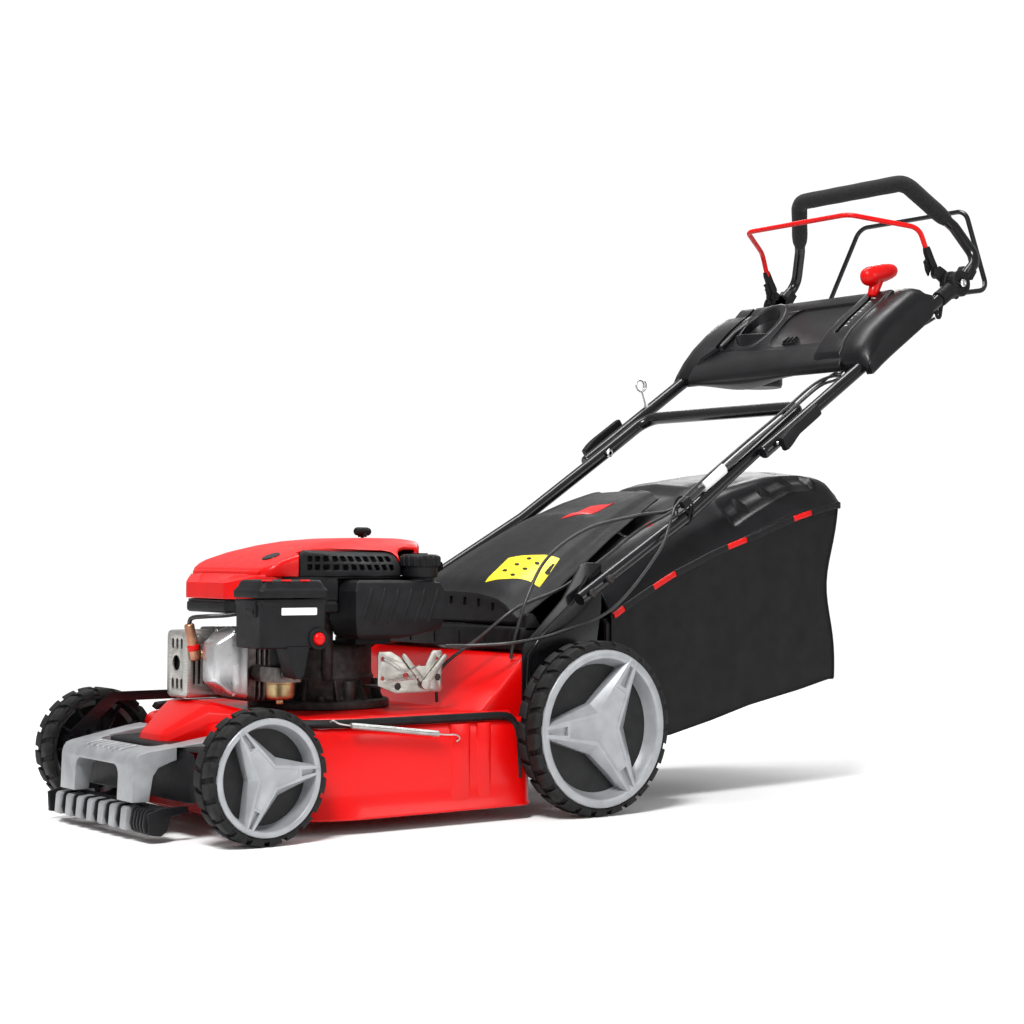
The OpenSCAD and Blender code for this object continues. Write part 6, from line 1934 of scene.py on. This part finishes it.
# ---- every piece, in the order of the sections above ----
for build in (build_wheels, build_deck_shell, build_riser_housing, build_deck_pressed_flutes,
              build_deck_nose_lobe, build_front_fairing, build_deck_ledge_moulding,
              build_front_guard_frame, build_front_guard_grip_ribs, build_comb_bar_teeth,
              build_comb_bar_faces, build_rear_bulkhead_moulding, build_engine_cover_dome,
              build_engine_cover_nose, build_engine_cover_step, build_engine_cover_badge_blank,
              build_fan_housing, build_cooling_grille_plate, build_cooling_grille_backing,
              build_crankcase_casting, build_cylinder_fins_and_head, build_valve_cover_casting,
              build_valve_cover_screws, build_muffler_heat_guard, build_muffler_can,
              build_spark_plug_boot, build_ignition_lead, build_fuel_tank_body,
              build_fuel_tank_ribs_and_neck, build_fuel_cap_knurled, build_air_filter_box_body,
              build_air_filter_box_fittings, build_filter_box_label_blank, build_air_filter_lid_moulding,
              build_primer_bulb_rubber, build_carburettor_body, build_governor_plate,
              build_governor_links, build_throttle_lever_plates, build_starter_rope_grip,
              build_lower_handle_tube, build_handle_bracket_plates, build_frame_bolt_heads,
              build_upper_handle_tubes, build_rope_guide_wire, build_clamp_levers,
              build_clamp_and_pivot_bolts, build_console_middle, build_cup_holder_sleeve,
              build_cup_holder_collar, build_console_front_skirt, build_console_cable_latch,
              build_console_left_shroud, build_console_lever_deck, build_console_right_shroud,
              build_speed_scale_marks, build_speed_knob, build_grip_loop_tube, build_grip_fork_ends,
              build_foam_grip_sleeve, build_pivot_joint_housings, build_stop_bail_rod,
              build_stop_bail_holders, build_drive_bail_rod, build_flap_shell, build_flap_front_edge,
              build_flap_hinge_barrel, build_flap_label_blank, build_flap_label_marks,
              build_bag_cover_shell, build_bag_cover_recess_fins, build_bag_rim_channel,
              build_bag_cover_flank, build_flap_red_accent, build_bag_cover_accents, build_bag_cloth,
              build_bag_mouth_frame, build_control_cables, build_cable_tag_sleeve_blank,
              build_cable_tie_clip, build_balance_spring_coil):
    build()

# ---- metal that the looks leave as the CAD has it ----
FINISH = {
    "deck": RED_PAINT, "muffler": CAST_IRON, "air_filter_element": FILTER, "gearbox": CAST_ALLOY,
    "drive_belt": RUBBER, "front_axle": BLACK_PAINT, "rear_axle": BLACK_PAINT, "height_link": BLACK_PAINT,
    "crankshaft": STEEL, "flywheel": CAST_ALLOY, "blade": BLADE_STEEL, "blade_bolt": STEEL,
    "gearbox_pulley": STEEL, "drive_shaft": STEEL,
}


def finish_plain_nodes():
    for name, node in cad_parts.items():
        if node.hide_render:
            continue
        node.data.materials.clear()
        node.data.materials.append(FINISH.get(name, BLACK_PLASTIC))
        node.data.shade_smooth()
        node.data.set_sharp_from_angle(angle=math.radians(35))


# ---- floor, light and camera ----
def build_floor():
    floor_mat = mat("pale_floor", (0.95, 0.95, 0.95), 0.75, vary=0.015, vary_scale=3, bump=0.02,
                    bump_scale=60)
    floor = Shape()
    floor.rings([[V(MID_X + r * 1000 * math.cos(t), r * 1000 * math.sin(t), -0.6) for t in
                  (2 * math.pi * k / 64 for k in range(64))] for r in (2.5, 1.5, 0.01)], caps=False)
    floor_obj = make("studio_floor", floor, [floor_mat], None, smooth=80)


# the camera sees white, and the objects get a weaker white
def build_sky():
    world = bpy.data.worlds.new("studio_sky")
    world.use_nodes = True
    world.node_tree.nodes["Background"].inputs["Color"].default_value = (1, 1, 1, 1)
    world.node_tree.nodes["Background"].inputs["Strength"].default_value = 0.5
    backdrop = world.node_tree.nodes.new("ShaderNodeBackground")
    backdrop.inputs["Color"].default_value = (1, 1, 1, 1)
    backdrop.inputs["Strength"].default_value = 1.05
    seen = world.node_tree.nodes.new("ShaderNodeLightPath")
    choose = world.node_tree.nodes.new("ShaderNodeMixShader")
    world.node_tree.links.new(seen.outputs["Is Camera Ray"], choose.inputs[0])
    world.node_tree.links.new(world.node_tree.nodes["Background"].outputs[0], choose.inputs[1])
    world.node_tree.links.new(backdrop.outputs[0], choose.inputs[2])
    world.node_tree.links.new(choose.outputs[0], world.node_tree.nodes["World Output"].inputs["Surface"])
    bpy.context.scene.world = world


def area_light(name, place, target, size, power, size_y=None):
    data = bpy.data.lights.new(name, "AREA")
    data.energy = power
    data.size = size
    if size_y:
        data.shape = "RECTANGLE"
        data.size_y = size_y
    obj = bpy.data.objects.new(name, data)
    bpy.context.scene.collection.objects.link(obj)
    obj.location = place
    obj.rotation_euler = (Vector(target) - Vector(place)).to_track_quat("-Z", "Y").to_euler()
    return obj


def build_lights():
    area_light("key_softbox", (-2.2, -1.6, 3.0), (0, 0, 0.4), 0.9, 150)
    area_light("fill_softbox", (1.6, -3.4, 1.4), (0.1, 0, 0.5), 1.4, 26)
    area_light("top_strip", (0.2, 0.6, 3.2), (0, 0, 0.4), 2.4, 75, 0.8)
    area_light("rim_softbox", (2.6, 2.4, 2.2), (0.2, 0, 0.5), 1.2, 22)


def build_camera():
    cam_data = bpy.data.cameras.new("photo_camera")
    cam_data.lens = 69.78
    cam_data.sensor_width = 36
    cam = bpy.data.objects.new("photo_camera", cam_data)
    bpy.context.scene.collection.objects.link(cam)
    yaw, pitch, roll = 0.6541, 0.0219, 0.0066
    forward = Vector((math.sin(yaw) * math.cos(pitch), math.cos(yaw) * math.cos(pitch), math.sin(pitch)))
    level = Vector((math.cos(yaw), -math.sin(yaw), 0))
    upright = level.cross(forward)
    cam_x = level * math.cos(roll) + upright * math.sin(roll)
    cam_y = upright * math.cos(roll) - level * math.sin(roll)
    turn = Matrix((cam_x, cam_y, -forward)).transposed().to_4x4()
    cam.matrix_world = Matrix.Translation((-2.0449, -2.5165, 0.3823)) @ turn
    bpy.context.scene.camera = cam


finish_plain_nodes()
build_floor()
build_sky()
build_lights()
build_camera()
bpy.context.scene.view_settings.view_transform = "Standard"
